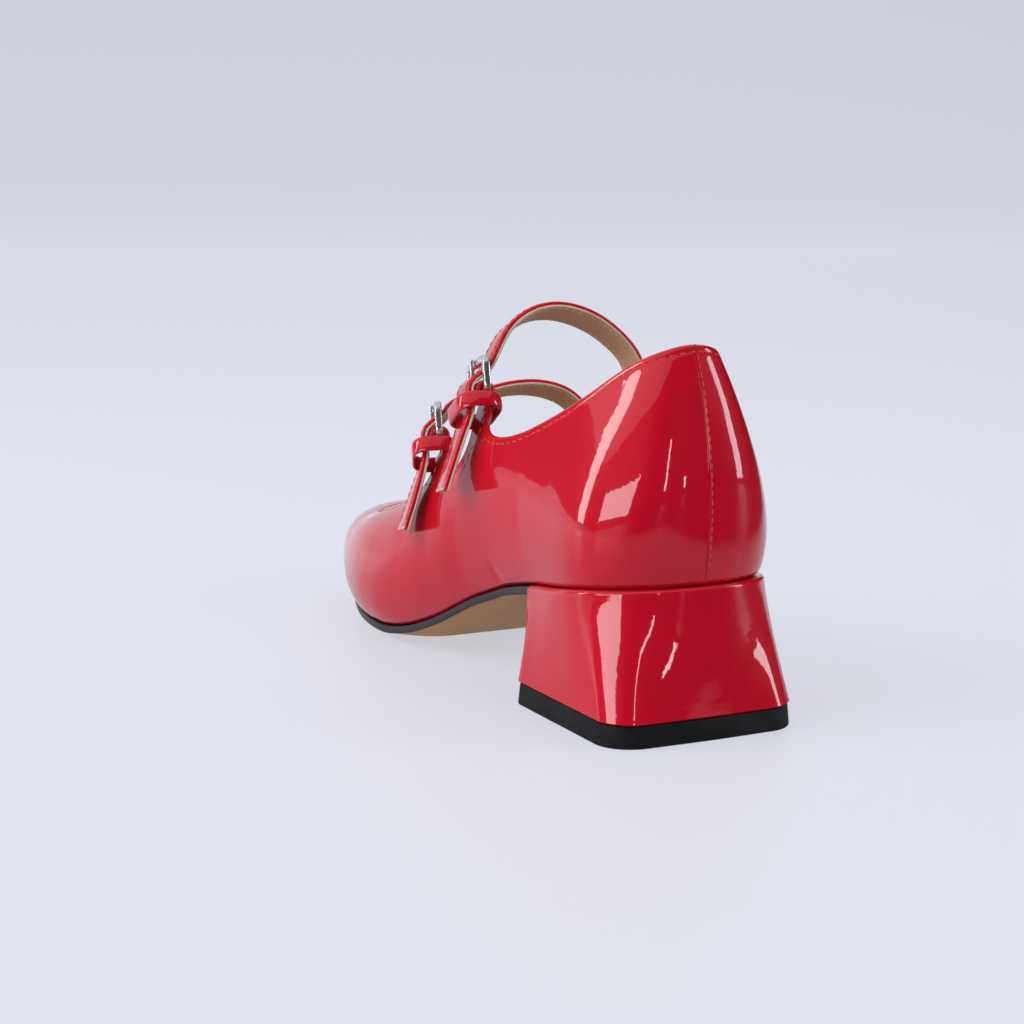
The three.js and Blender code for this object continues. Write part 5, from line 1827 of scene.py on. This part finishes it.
@dataclass
class Strap:
    """One instep strap: patent outside, tan lining inside, stitched along both edges."""

    form: UpperForm
    finishes: Finishes
    fastening: Fastening
    stops: int = 300
    patent_thickness: float = 0.00125
    lining_thickness: float = 0.00078
    patent_relief: float = 0.00016
    lining_relief: float = 0.00006
    stitch_margin: float = 0.0014
    stitch_sink: float = 0.00010
    sewn_from: float = 0.10
    groove_steps: tuple[float, ...] = (-0.0011, -0.0006, -0.00025, 0.0, 0.00025, 0.0005)
    groove_width: float = 0.0003
    middle_half: float = 0.0018
    end_inset: float = 0.0012
    end_thickness: float = 0.0007
    end_proud: float = 0.00032
    soft_line: int = 4
    soft_width: int = 24
    calm_reach: int = 26
    calm_rows: float = 20.0
    anchor_levels: tuple[float, ...] = (0.62, 0.80, 0.96)
    anchor_gap: float = 0.0009
    tail_stops: tuple[float, ...] = (0.3, 0.65, 1.0)
    tail_across: Triple = (0.25, 0.95, -0.1)

    def _anchor(self) -> tuple[list[Array], list[Array]]:
        """Sewn end: points against the inner side's wall, with the width along the wall."""
        dense = np.linspace(self.form.toe, 1.0, 4000)
        around = np.interp(-self.fastening.anchor_y, -self.form.column["top_y"](dense), dense)
        place = np.array([around])
        depth = SIZES.wall + SIZES.clearance + self.anchor_gap + SIZES.strap_thickness / 2
        points, ways = [], []
        for level in self.anchor_levels:
            spot = np.array([[level]])
            here = self.form.wall(place, spot)[0, 0]
            along = (self.form.wall(place - 1e-3, spot) - self.form.wall(place + 1e-3, spot))[0, 0]
            up = (self.form.wall(place, spot + 1e-3) - self.form.wall(place, spot - 1e-3))[0, 0]
            points.append(here - unit(np.cross(along, up)) * depth)
            ways.append(unit(along))
        return points, ways

    def stations(self) -> tuple[Array, Array, Array]:
        """Middle line, width direction and inward face direction along the strap; the line is
        calmed where it enters the buckle, so that neither edge folds back."""
        points, ways = self._anchor()
        for spot in self.fastening.run:
            lean, veer = math.radians(spot.lean), math.radians(spot.veer)
            points.append(np.array([spot.x, spot.y, spot.z]))
            ways.append(np.array([math.tan(veer), math.cos(lean), -math.sin(lean)]))
        across = self.fastening.axes()[0]
        for spot in COURSE:
            rise, out = np.float64(spot.rise), np.float64(spot.out)
            points.append(self.fastening.at(np.float64(0.0), rise, out))
            ways.append(across)
        tail = unit(np.array(self.fastening.tail))
        start = points[-1]
        for share in self.tail_stops:
            points.append(start + tail * share * self.fastening.tail_length)
            ways.append(np.array(self.tail_across))
        places, sides = np.array(points), np.array(ways)
        at = np.linspace(0, len(places) - 1, self.stops + 1)
        middle = soften(centripetal(places, at), self.soft_line)
        entry = (len(self.anchor_levels) + len(self.fastening.run)) / (len(places) - 1) * self.stops
        calm = np.exp(-(((np.arange(self.stops + 1) - entry) / self.calm_rows) ** 2))[:, None]
        middle = middle * (1 - calm) + soften(middle, self.calm_reach) * calm
        tangent = unit(np.gradient(middle, axis=0))
        i = np.minimum(np.floor(at).astype(int), len(places) - 2)
        share = (at - i)[:, None]
        width = soften(unit(sides[i] * (1 - share) + sides[i + 1] * share), self.soft_width)
        width = unit(width - tangent * np.sum(width * tangent, axis=1, keepdims=True))
        return middle, width, unit(np.cross(tangent, width))

    def _layer(self, side: float, thickness: float, relief: float) -> Shape:
        """Ribbon on one side of the middle line, pressed in along its stitches and crowned
        between them by a parabola."""
        middle, width, face = self.stations()
        half = SIZES.strap_width / 2 - thickness / 2
        stitch = SIZES.strap_width / 2 - self.stitch_margin
        steps = np.append(stitch + np.array(self.groove_steps), half)
        steps = steps[steps <= half]
        flat = np.linspace(-self.middle_half, self.middle_half, 5)
        across = np.concatenate([-steps[::-1], flat, steps])
        groove = np.exp(-((np.abs(across) - stitch) / self.groove_width) ** 2)
        height = relief * (1 - (across / half) ** 2) - 0.6 * relief * groove - relief
        level = side * (SIZES.strap_thickness / 2 + height)
        points = middle[:, None] + width[:, None] * across[None, :, None]
        points = points + face[:, None] * level[None, :, None]
        faces = grid_faces(len(middle), len(across))
        if side < 0:
            faces = faces[:, ::-1]
        return Shape(points.reshape(-1, 3), faces)

    def _end(self) -> Shape:
        """Cut end of the tail: a small plate across the strap's section."""
        middle, width, face = self.stations()
        way = unit(middle[-1] - middle[-2])
        across = np.linspace(-0.5, 0.5, 9) * (SIZES.strap_width - self.end_inset)
        deep = np.linspace(-0.5, 0.5, 5) * (SIZES.strap_thickness - self.end_thickness)
        points = middle[-1] + way * self.end_proud + across[:, None, None] * width[-1]
        points = points + deep[None, :, None] * face[-1]
        faces = grid_faces(len(across), len(deep))
        sheet = Shape(points.reshape(-1, 3), faces)
        if sheet.normals()[0] @ way < 0:
            sheet.faces = sheet.faces[:, ::-1]
        return thicken(sheet, self.end_thickness, steps=4)

    def build(self) -> list[Piece]:
        """Builds both layers, the cut end and the four rows of stitches."""
        name = self.fastening.name
        outer = self._layer(-1.0, self.patent_thickness, self.patent_relief)
        outer = thicken(outer, self.patent_thickness).mesh(f"strap_{name}_patent", [self.finishes.patent])
        inner = self._layer(1.0, self.lining_thickness, self.lining_relief)
        inner = thicken(inner, self.lining_thickness, rim_finish=1)
        materials = [self.finishes.strap_lining, self.finishes.cut_edge]
        inner = inner.mesh(f"strap_{name}_lining", materials)
        end = self._end().mesh(f"strap_{name}_cut_end", [self.finishes.cut_edge])
        pieces = [
            place_piece(outer, Role.PATENT, f"strap_{name}"),
            place_piece(inner, Role.LINING),
            place_piece(end, Role.LINING),
        ]
        middle, width, face = self.stations()
        inset = SIZES.strap_width / 2 - self.stitch_margin
        chosen = slice(int(self.stops * self.sewn_from), self.stops - 3)
        deep = SIZES.strap_thickness / 2 - self.stitch_sink
        for side, label, thread, hole in (
            (-1.0, "patent", self.finishes.red_thread, self.finishes.hole),
            (1.0, "lining", self.finishes.tan_thread, self.finishes.tan_hole),
        ):
            rows = []
            for edge in (-1.0, 1.0):
                line = middle + width * edge * inset + face * side * deep
                rows.append((line[chosen], face[chosen] * side))
            row_name = f"strap_{name}_{label}_stitches"
            pieces.append(sew(row_name, rows, FINE_STITCHES, thread, hole, Role.PATENT))
        return pieces


@dataclass
class Buckle:
    """One fastening's hardware: bevelled frame, prong and leather keeper."""

    finishes: Finishes
    fastening: Fastening
    keeper_band: float = 0.0048
    keeper_thickness: float = 0.0013
    keeper_room: float = 0.0019
    keeper_half_depth: float = 0.0055
    keeper_corner: float = 0.0040
    keeper_tilt: float = 12.0
    keeper_rise: float = -0.0091
    keeper_out: float = 0.0017
    frame_corner: float = 0.0008
    keeper_power: float = 2.5
    bar_depth: float = 0.0021
    bar_power: float = 3.6
    prong_power: float = 2.2
    eye_start: float = 335.0
    prong_radius: float = 0.00065
    eye_width: float = 0.0016
    eye_band: float = 0.0011
    pin_root: float = 0.0016
    pin_tip_gap: float = 0.0014

    def _rounded_loop(self, half_x: float, half_y: float, radius: float, arc: int,
                      straight: int) -> tuple[Array, Array]:
        """Rounded rectangle and its outward directions: quarter circles joined by straights.

        Args:
            half_x: Half width of the loop.
            half_y: Half height.
            radius: Corner radius.
            arc: Steps round each corner.
            straight: Steps along each straight.

        Returns:
            Plan points and outward directions, two numbers each.
        """
        points, ways = [], []
        signs = ((1, 1), (-1, 1), (-1, -1), (1, -1))
        for quadrant, (sx, sy) in enumerate(signs):
            angle = np.pi / 2 * (quadrant + np.arange(arc + 1) / arc)
            way = np.stack([np.cos(angle), np.sin(angle)], axis=1)
            centre = np.array([sx * (half_x - radius), sy * (half_y - radius)])
            points.append(centre + way * radius)
            ways.append(way)
            nx, ny = signs[(quadrant + 1) % 4]
            end = np.array([nx * (half_x - radius), ny * (half_y - radius)]) + way[-1] * radius
            share = (np.arange(1, straight) / straight)[:, None]
            points.append(points[-1][-1] * (1 - share) + end * share)
            ways.append(np.repeat(way[-1:], straight - 1, axis=0))
        return np.concatenate(points), np.concatenate(ways)

    def _section(self, half_a: float, half_b: float, power: float, count: int) -> Array:
        """Rounded section: both half sizes times the signed powers of cosine and sine."""
        turn = 2 * np.pi * np.arange(count) / count
        root = 2 / power
        a = np.sign(np.cos(turn)) * np.abs(np.cos(turn)) ** root * half_a
        b = np.sign(np.sin(turn)) * np.abs(np.sin(turn)) ** root * half_b
        return np.stack([a, b], axis=1)

    def keeper(self) -> Piece:
        """Soft leather band looped round the tab and the strap, its rear edge tipped up."""
        half = self.keeper_thickness / 2
        plan, way = self._rounded_loop(SIZES.strap_width / 2 + self.keeper_room + half,
                                       self.keeper_half_depth + half, self.keeper_corner + half, 14, 10)
        across, rise, out = self.fastening.axes()
        tilt = math.radians(self.keeper_tilt)
        cos, sin = math.cos(tilt), math.sin(tilt)
        centres = self.fastening.at(plan[:, 0] * cos, self.keeper_rise - plan[:, 0] * sin,
                                    self.keeper_out + plan[:, 1])
        first = way[:, :1] * (across * cos - rise * sin) + way[:, 1:] * out
        second = np.broadcast_to(rise * cos + across * sin, first.shape)
        section = self._section(half, self.keeper_band / 2, self.keeper_power, 28)
        solid = outward_facing(swept_ring(centres, first, second, section, True))
        name = f"keeper_{self.fastening.name}"
        return place_piece(solid.mesh(f"{name}_band", [self.finishes.patent]), Role.PATENT, name)

    def frame(self) -> Piece:
        """Rectangular frame of bevelled bars."""
        half = SIZES.bar / 2
        plan, way = self._rounded_loop(SIZES.frame_width / 2 - half, SIZES.frame_length / 2 - half,
                                       self.frame_corner + half, 10, 8)
        across, rise, out = self.fastening.axes()
        centres = self.fastening.at(plan[:, 0], plan[:, 1], np.float64(0.0))
        first = way[:, :1] * across + way[:, 1:] * rise
        second = np.broadcast_to(out, first.shape)
        section = self._section(half, self.bar_depth / 2, self.bar_power, 28)
        solid = outward_facing(swept_ring(centres, first, second, section, True))
        name = f"buckle_frame_{self.fastening.name}"
        return place_piece(solid.mesh(f"{name}_bars", [self.finishes.chrome]), Role.CHROME, name)

    def prong(self) -> Piece:
        """Pin bent round the lower bar: most of a turn, then a straight to the upper bar."""
        radius = SIZES.bar / 2 + SIZES.clearance + self.eye_band / 2
        angle = np.radians(np.linspace(self.eye_start, 90, 40))
        length = SIZES.frame_length - SIZES.bar / 2 - self.pin_tip_gap + self.pin_root
        travel = np.linspace(0, 1, 40)[1:]
        seat = SIZES.frame_depth / 2 + SIZES.clearance / 2 + self.prong_radius
        rises = np.concatenate([radius * np.cos(angle), travel * length]) + SIZES.lower_bar
        outs = np.concatenate([radius * np.sin(angle), radius + (seat - radius) * smooth(travel * 1.6)])
        centres = self.fastening.at(np.float64(0.0), rises, outs)
        across = self.fastening.axes()[0]
        tangent = unit(np.gradient(centres, axis=0))
        second = unit(np.cross(tangent, across))
        eye = np.concatenate([np.ones(40), 1 - smooth(travel * 4)])
        wide = self.prong_radius + (self.eye_width / 2 - self.prong_radius) * eye
        deep = self.prong_radius + (self.eye_band / 2 - self.prong_radius) * eye
        left = (1 - travel) * length / self.prong_radius
        tip = np.concatenate([np.ones(40), np.sqrt(1 - (1 - np.clip(left, 0.02, 1)) ** 2)])
        section = self._section(1.0, 1.0, self.prong_power, 20)
        scaled = section[None] * np.stack([wide * tip, deep * tip], axis=1)[:, None]
        first = np.broadcast_to(across, second.shape)
        solid = outward_facing(swept_ring(centres, first, second, scaled, False))
        name = f"buckle_prong_{self.fastening.name}"
        return place_piece(solid.mesh(f"{name}_pin", [self.finishes.chrome]), Role.CHROME, name)

    def build(self) -> list[Piece]:
        """Builds the frame, the prong and the keeper."""
        return [self.frame(), self.prong(), self.keeper()]


@dataclass(frozen=True)
class Softbox:
    """One area light: where it stands, where it looks and how strong it is."""

    name: str
    place: Triple
    target: Triple
    size: tuple[float, float]
    power: float
    mirrored: bool = True

    def build(self) -> None:
        """Adds the light, turned to look at its target; a fill isn't mirrored in the gloss."""
        data = bpy.data.lights.new(self.name, "AREA")
        data.shape = "RECTANGLE"
        data.size, data.size_y = self.size
        data.energy = self.power
        light = bpy.data.objects.new(self.name, data)
        way = Vector(self.target) - Vector(self.place)
        light.location = self.place
        light.rotation_euler = way.to_track_quat("-Z", "Y").to_euler()
        light.visible_glossy = self.mirrored
        bpy.context.scene.collection.objects.link(light)


@dataclass
class Studio:
    """Pale seamless floor and backdrop, soft boxes and the photograph's camera."""

    yaw: float = 25.982
    pitch: float = 9.776
    camera: Triple = (-0.28293, -0.49056, 0.15357)
    lens: float = 50.0
    sensor: float = 24.0
    floor: Triple = (0.24, 0.25, 0.27)
    glow: Triple = (0.505, 0.52, 0.58)
    flag_side: tuple[float, float] = (0.25, 0.36)
    flag_near: tuple[float, float] = (0.22, 0.32)
    gleam: tuple[float, float] = (-0.05, 0.30)
    world: Triple = (0.80, 0.84, 0.92)
    world_strength: float = 0.06
    seen_strength: float = 0.76
    overhead: float = 1.25
    overhead_angle: float = 110.0
    overhead_turn: Triple = (-12.0, -10.0, 0.0)
    boxes: tuple[Softbox, ...] = (
        Softbox("left_strip", (-0.92, 0.62, 0.36), (0.0, 0.02, 0.06), (0.20, 0.62), 2.4),
        Softbox("left_window", (-1.07, -0.28, 0.21), (0.0, 0.0, 0.06), (0.80, 0.26), 3.6),
        Softbox("right_strip", (1.0, -0.50, 0.36), (0.0, 0.0, 0.06), (0.24, 0.66), 3.0),
        Softbox("rear_strip", (-0.32, -1.16, 0.26), (0.0, 0.0, 0.08), (0.05, 0.34), 0.45),
        Softbox("left_fill", (-1.0, 0.15, 0.75), (0.0, 0.0, 0.06), (0.8, 0.8), 5.6, False),
        Softbox("right_fill", (0.95, -0.55, 0.65), (0.0, 0.0, 0.06), (0.6, 0.6), 2.2, False),
        Softbox("rear_fill", (0.10, -1.15, 0.50), (0.0, 0.0, 0.05), (0.6, 0.6), 2.6, False),
        Softbox("rear_lamp", (0.18, -1.19, 0.07), (0.0, 0.0, 0.08), (0.05, 0.07), 0.12),
    )

    def _backdrop(self) -> None:
        """Seamless sheet: level floor, a quarter circle and an upright wall, carried sideways
        and turned to face the camera. It glows evenly to the camera; to every other ray its glow and colour
        are painted dark beside and before the picture, so the gloss mirrors painted shade there in place of
        black flags, and its glow is painted stronger ahead."""
        radius, width, wall_top = 1.6, 5.0, 4.5
        level = np.array([-2.4, -0.8, 0.0, 0.8, 2.6])
        reach = level[-1]
        turn = np.linspace(0, np.pi / 2, 25)[1:]
        along = np.concatenate([level, reach + radius * np.sin(turn), [reach + radius]])
        height = np.concatenate([np.zeros(len(level)), radius * (1 - np.cos(turn)), [wall_top]])
        sides = np.linspace(-width, width, 9)
        yaw = math.radians(self.yaw)
        ahead = np.array([math.sin(yaw), math.cos(yaw), 0.0])
        right = np.array([math.cos(yaw), -math.sin(yaw), 0.0])
        points = along[:, None, None] * ahead + sides[None, :, None] * right
        points[..., 2] = height[:, None] - 0.00005
        points[..., 1] += SIZES.heel_depth / 2
        faces = grid_faces(len(along), len(sides))[:, ::-1]
        build, shader, place = new_material("pale_backdrop", self.floor)
        ahead_of = build.add("ShaderNodeVectorMath", {0: place, 1: tuple(ahead)}, operation="DOT_PRODUCT")
        right_of = build.add("ShaderNodeVectorMath", {0: place, 1: tuple(right)}, operation="DOT_PRODUCT")
        stand = -float(np.dot(self.camera, ahead))
        reach_of = build.math("MAXIMUM", build.math("ADD", ahead_of.outputs["Value"], stand), 0.05)
        side = build.ramp(build.math("DIVIDE", right_of.outputs["Value"], reach_of), *self.flag_side)
        near = build.ramp(build.math("MULTIPLY", ahead_of.outputs["Value"], -1.0), *self.flag_near)
        seen = build.add("ShaderNodeLightPath").outputs["Is Camera Ray"]
        # Painted shade mask: the sides and the near floor, for every ray but the camera's.
        shade = build.math("MULTIPLY", build.math("MAXIMUM", side, near), build.math("SUBTRACT", 1.0, seen))
        # Painted light: for every ray but the camera's the glow runs from a quarter behind to full ahead.
        front = build.ramp(ahead_of.outputs["Value"], *self.gleam)
        full = build.math("MAXIMUM", seen, build.math("ADD", build.math("MULTIPLY", front, 0.75), 0.25))
        # Painted shade: the glow goes black under the mask.
        light = build.mix(shade, (*self.glow, 1.0), (0.0, 0.0, 0.0, 1.0))
        build.link(light, shader, "Emission Color")
        # Painted shade: the base colour falls to 0.12 of the floor's under the mask.
        cover = build.mix(shade, (*self.floor, 1.0), tuple(c * 0.12 for c in self.floor) + (1.0,))
        build.link(cover, shader, "Base Color")
        build.link(full, shader, "Emission Strength")
        shader.inputs["Roughness"].default_value = 0.5
        shader.inputs["Specular IOR Level"].default_value = 0.2
        sheet = Shape(points.reshape(-1, 3), faces)
        sheet.mesh("backdrop", [material_of(build)])

    def _overhead(self) -> None:
        """Wide even light from above, as from a diffuser over the whole table."""
        data = bpy.data.lights.new("overhead", "SUN")
        data.energy = self.overhead
        data.angle = math.radians(self.overhead_angle)
        light = bpy.data.objects.new("overhead", data)
        light.rotation_euler = Euler([math.radians(turn) for turn in self.overhead_turn])
        bpy.context.scene.collection.objects.link(light)

    def build(self) -> None:
        """Builds the backdrop, the world, the lights and the camera."""
        self._backdrop()
        world = bpy.data.worlds.new("studio")
        world.use_nodes = True
        shade = world.node_tree.nodes["Background"]
        shade.inputs[0].default_value = (*self.world, 1.0)
        build = Tree(world.node_tree)
        seen = build.add("ShaderNodeLightPath").outputs["Is Camera Ray"]
        extra = build.math("MULTIPLY", seen, self.seen_strength)
        build.link(build.math("ADD", extra, self.world_strength), shade, 1)
        scene = bpy.context.scene
        scene.world = world
        scene.view_settings.view_transform = "Standard"
        for box in self.boxes:
            box.build()
        self._overhead()
        data = bpy.data.cameras.new("photo_camera")
        data.lens = self.lens
        data.sensor_width = self.sensor
        data.sensor_fit = "HORIZONTAL"
        data.clip_start = 0.01
        camera = bpy.data.objects.new("photo_camera", data)
        camera.location = self.camera
        camera.rotation_euler = Euler((math.radians(90 - self.pitch), 0.0, math.radians(-self.yaw)))
        scene.collection.objects.link(camera)
        scene.camera = camera


def main() -> None:
    """Builds the shoe piece by piece."""
    logging.basicConfig(level=logging.INFO, format="%(name)s: %(message)s")
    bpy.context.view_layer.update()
    Studio().build()
    form = UpperForm()
    finishes = Finishes()
    Upper(form, finishes).build()
    soles = Soles(form, finishes)
    soles.outsole()
    soles.insole()
    heel = Heel(form, finishes)
    heel.block()
    heel.lift()
    for item in FASTENINGS:
        Strap(form, finishes, item).build()
        Buckle(finishes, item).build()
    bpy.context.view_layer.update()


if __name__ == "__main__":
    main()
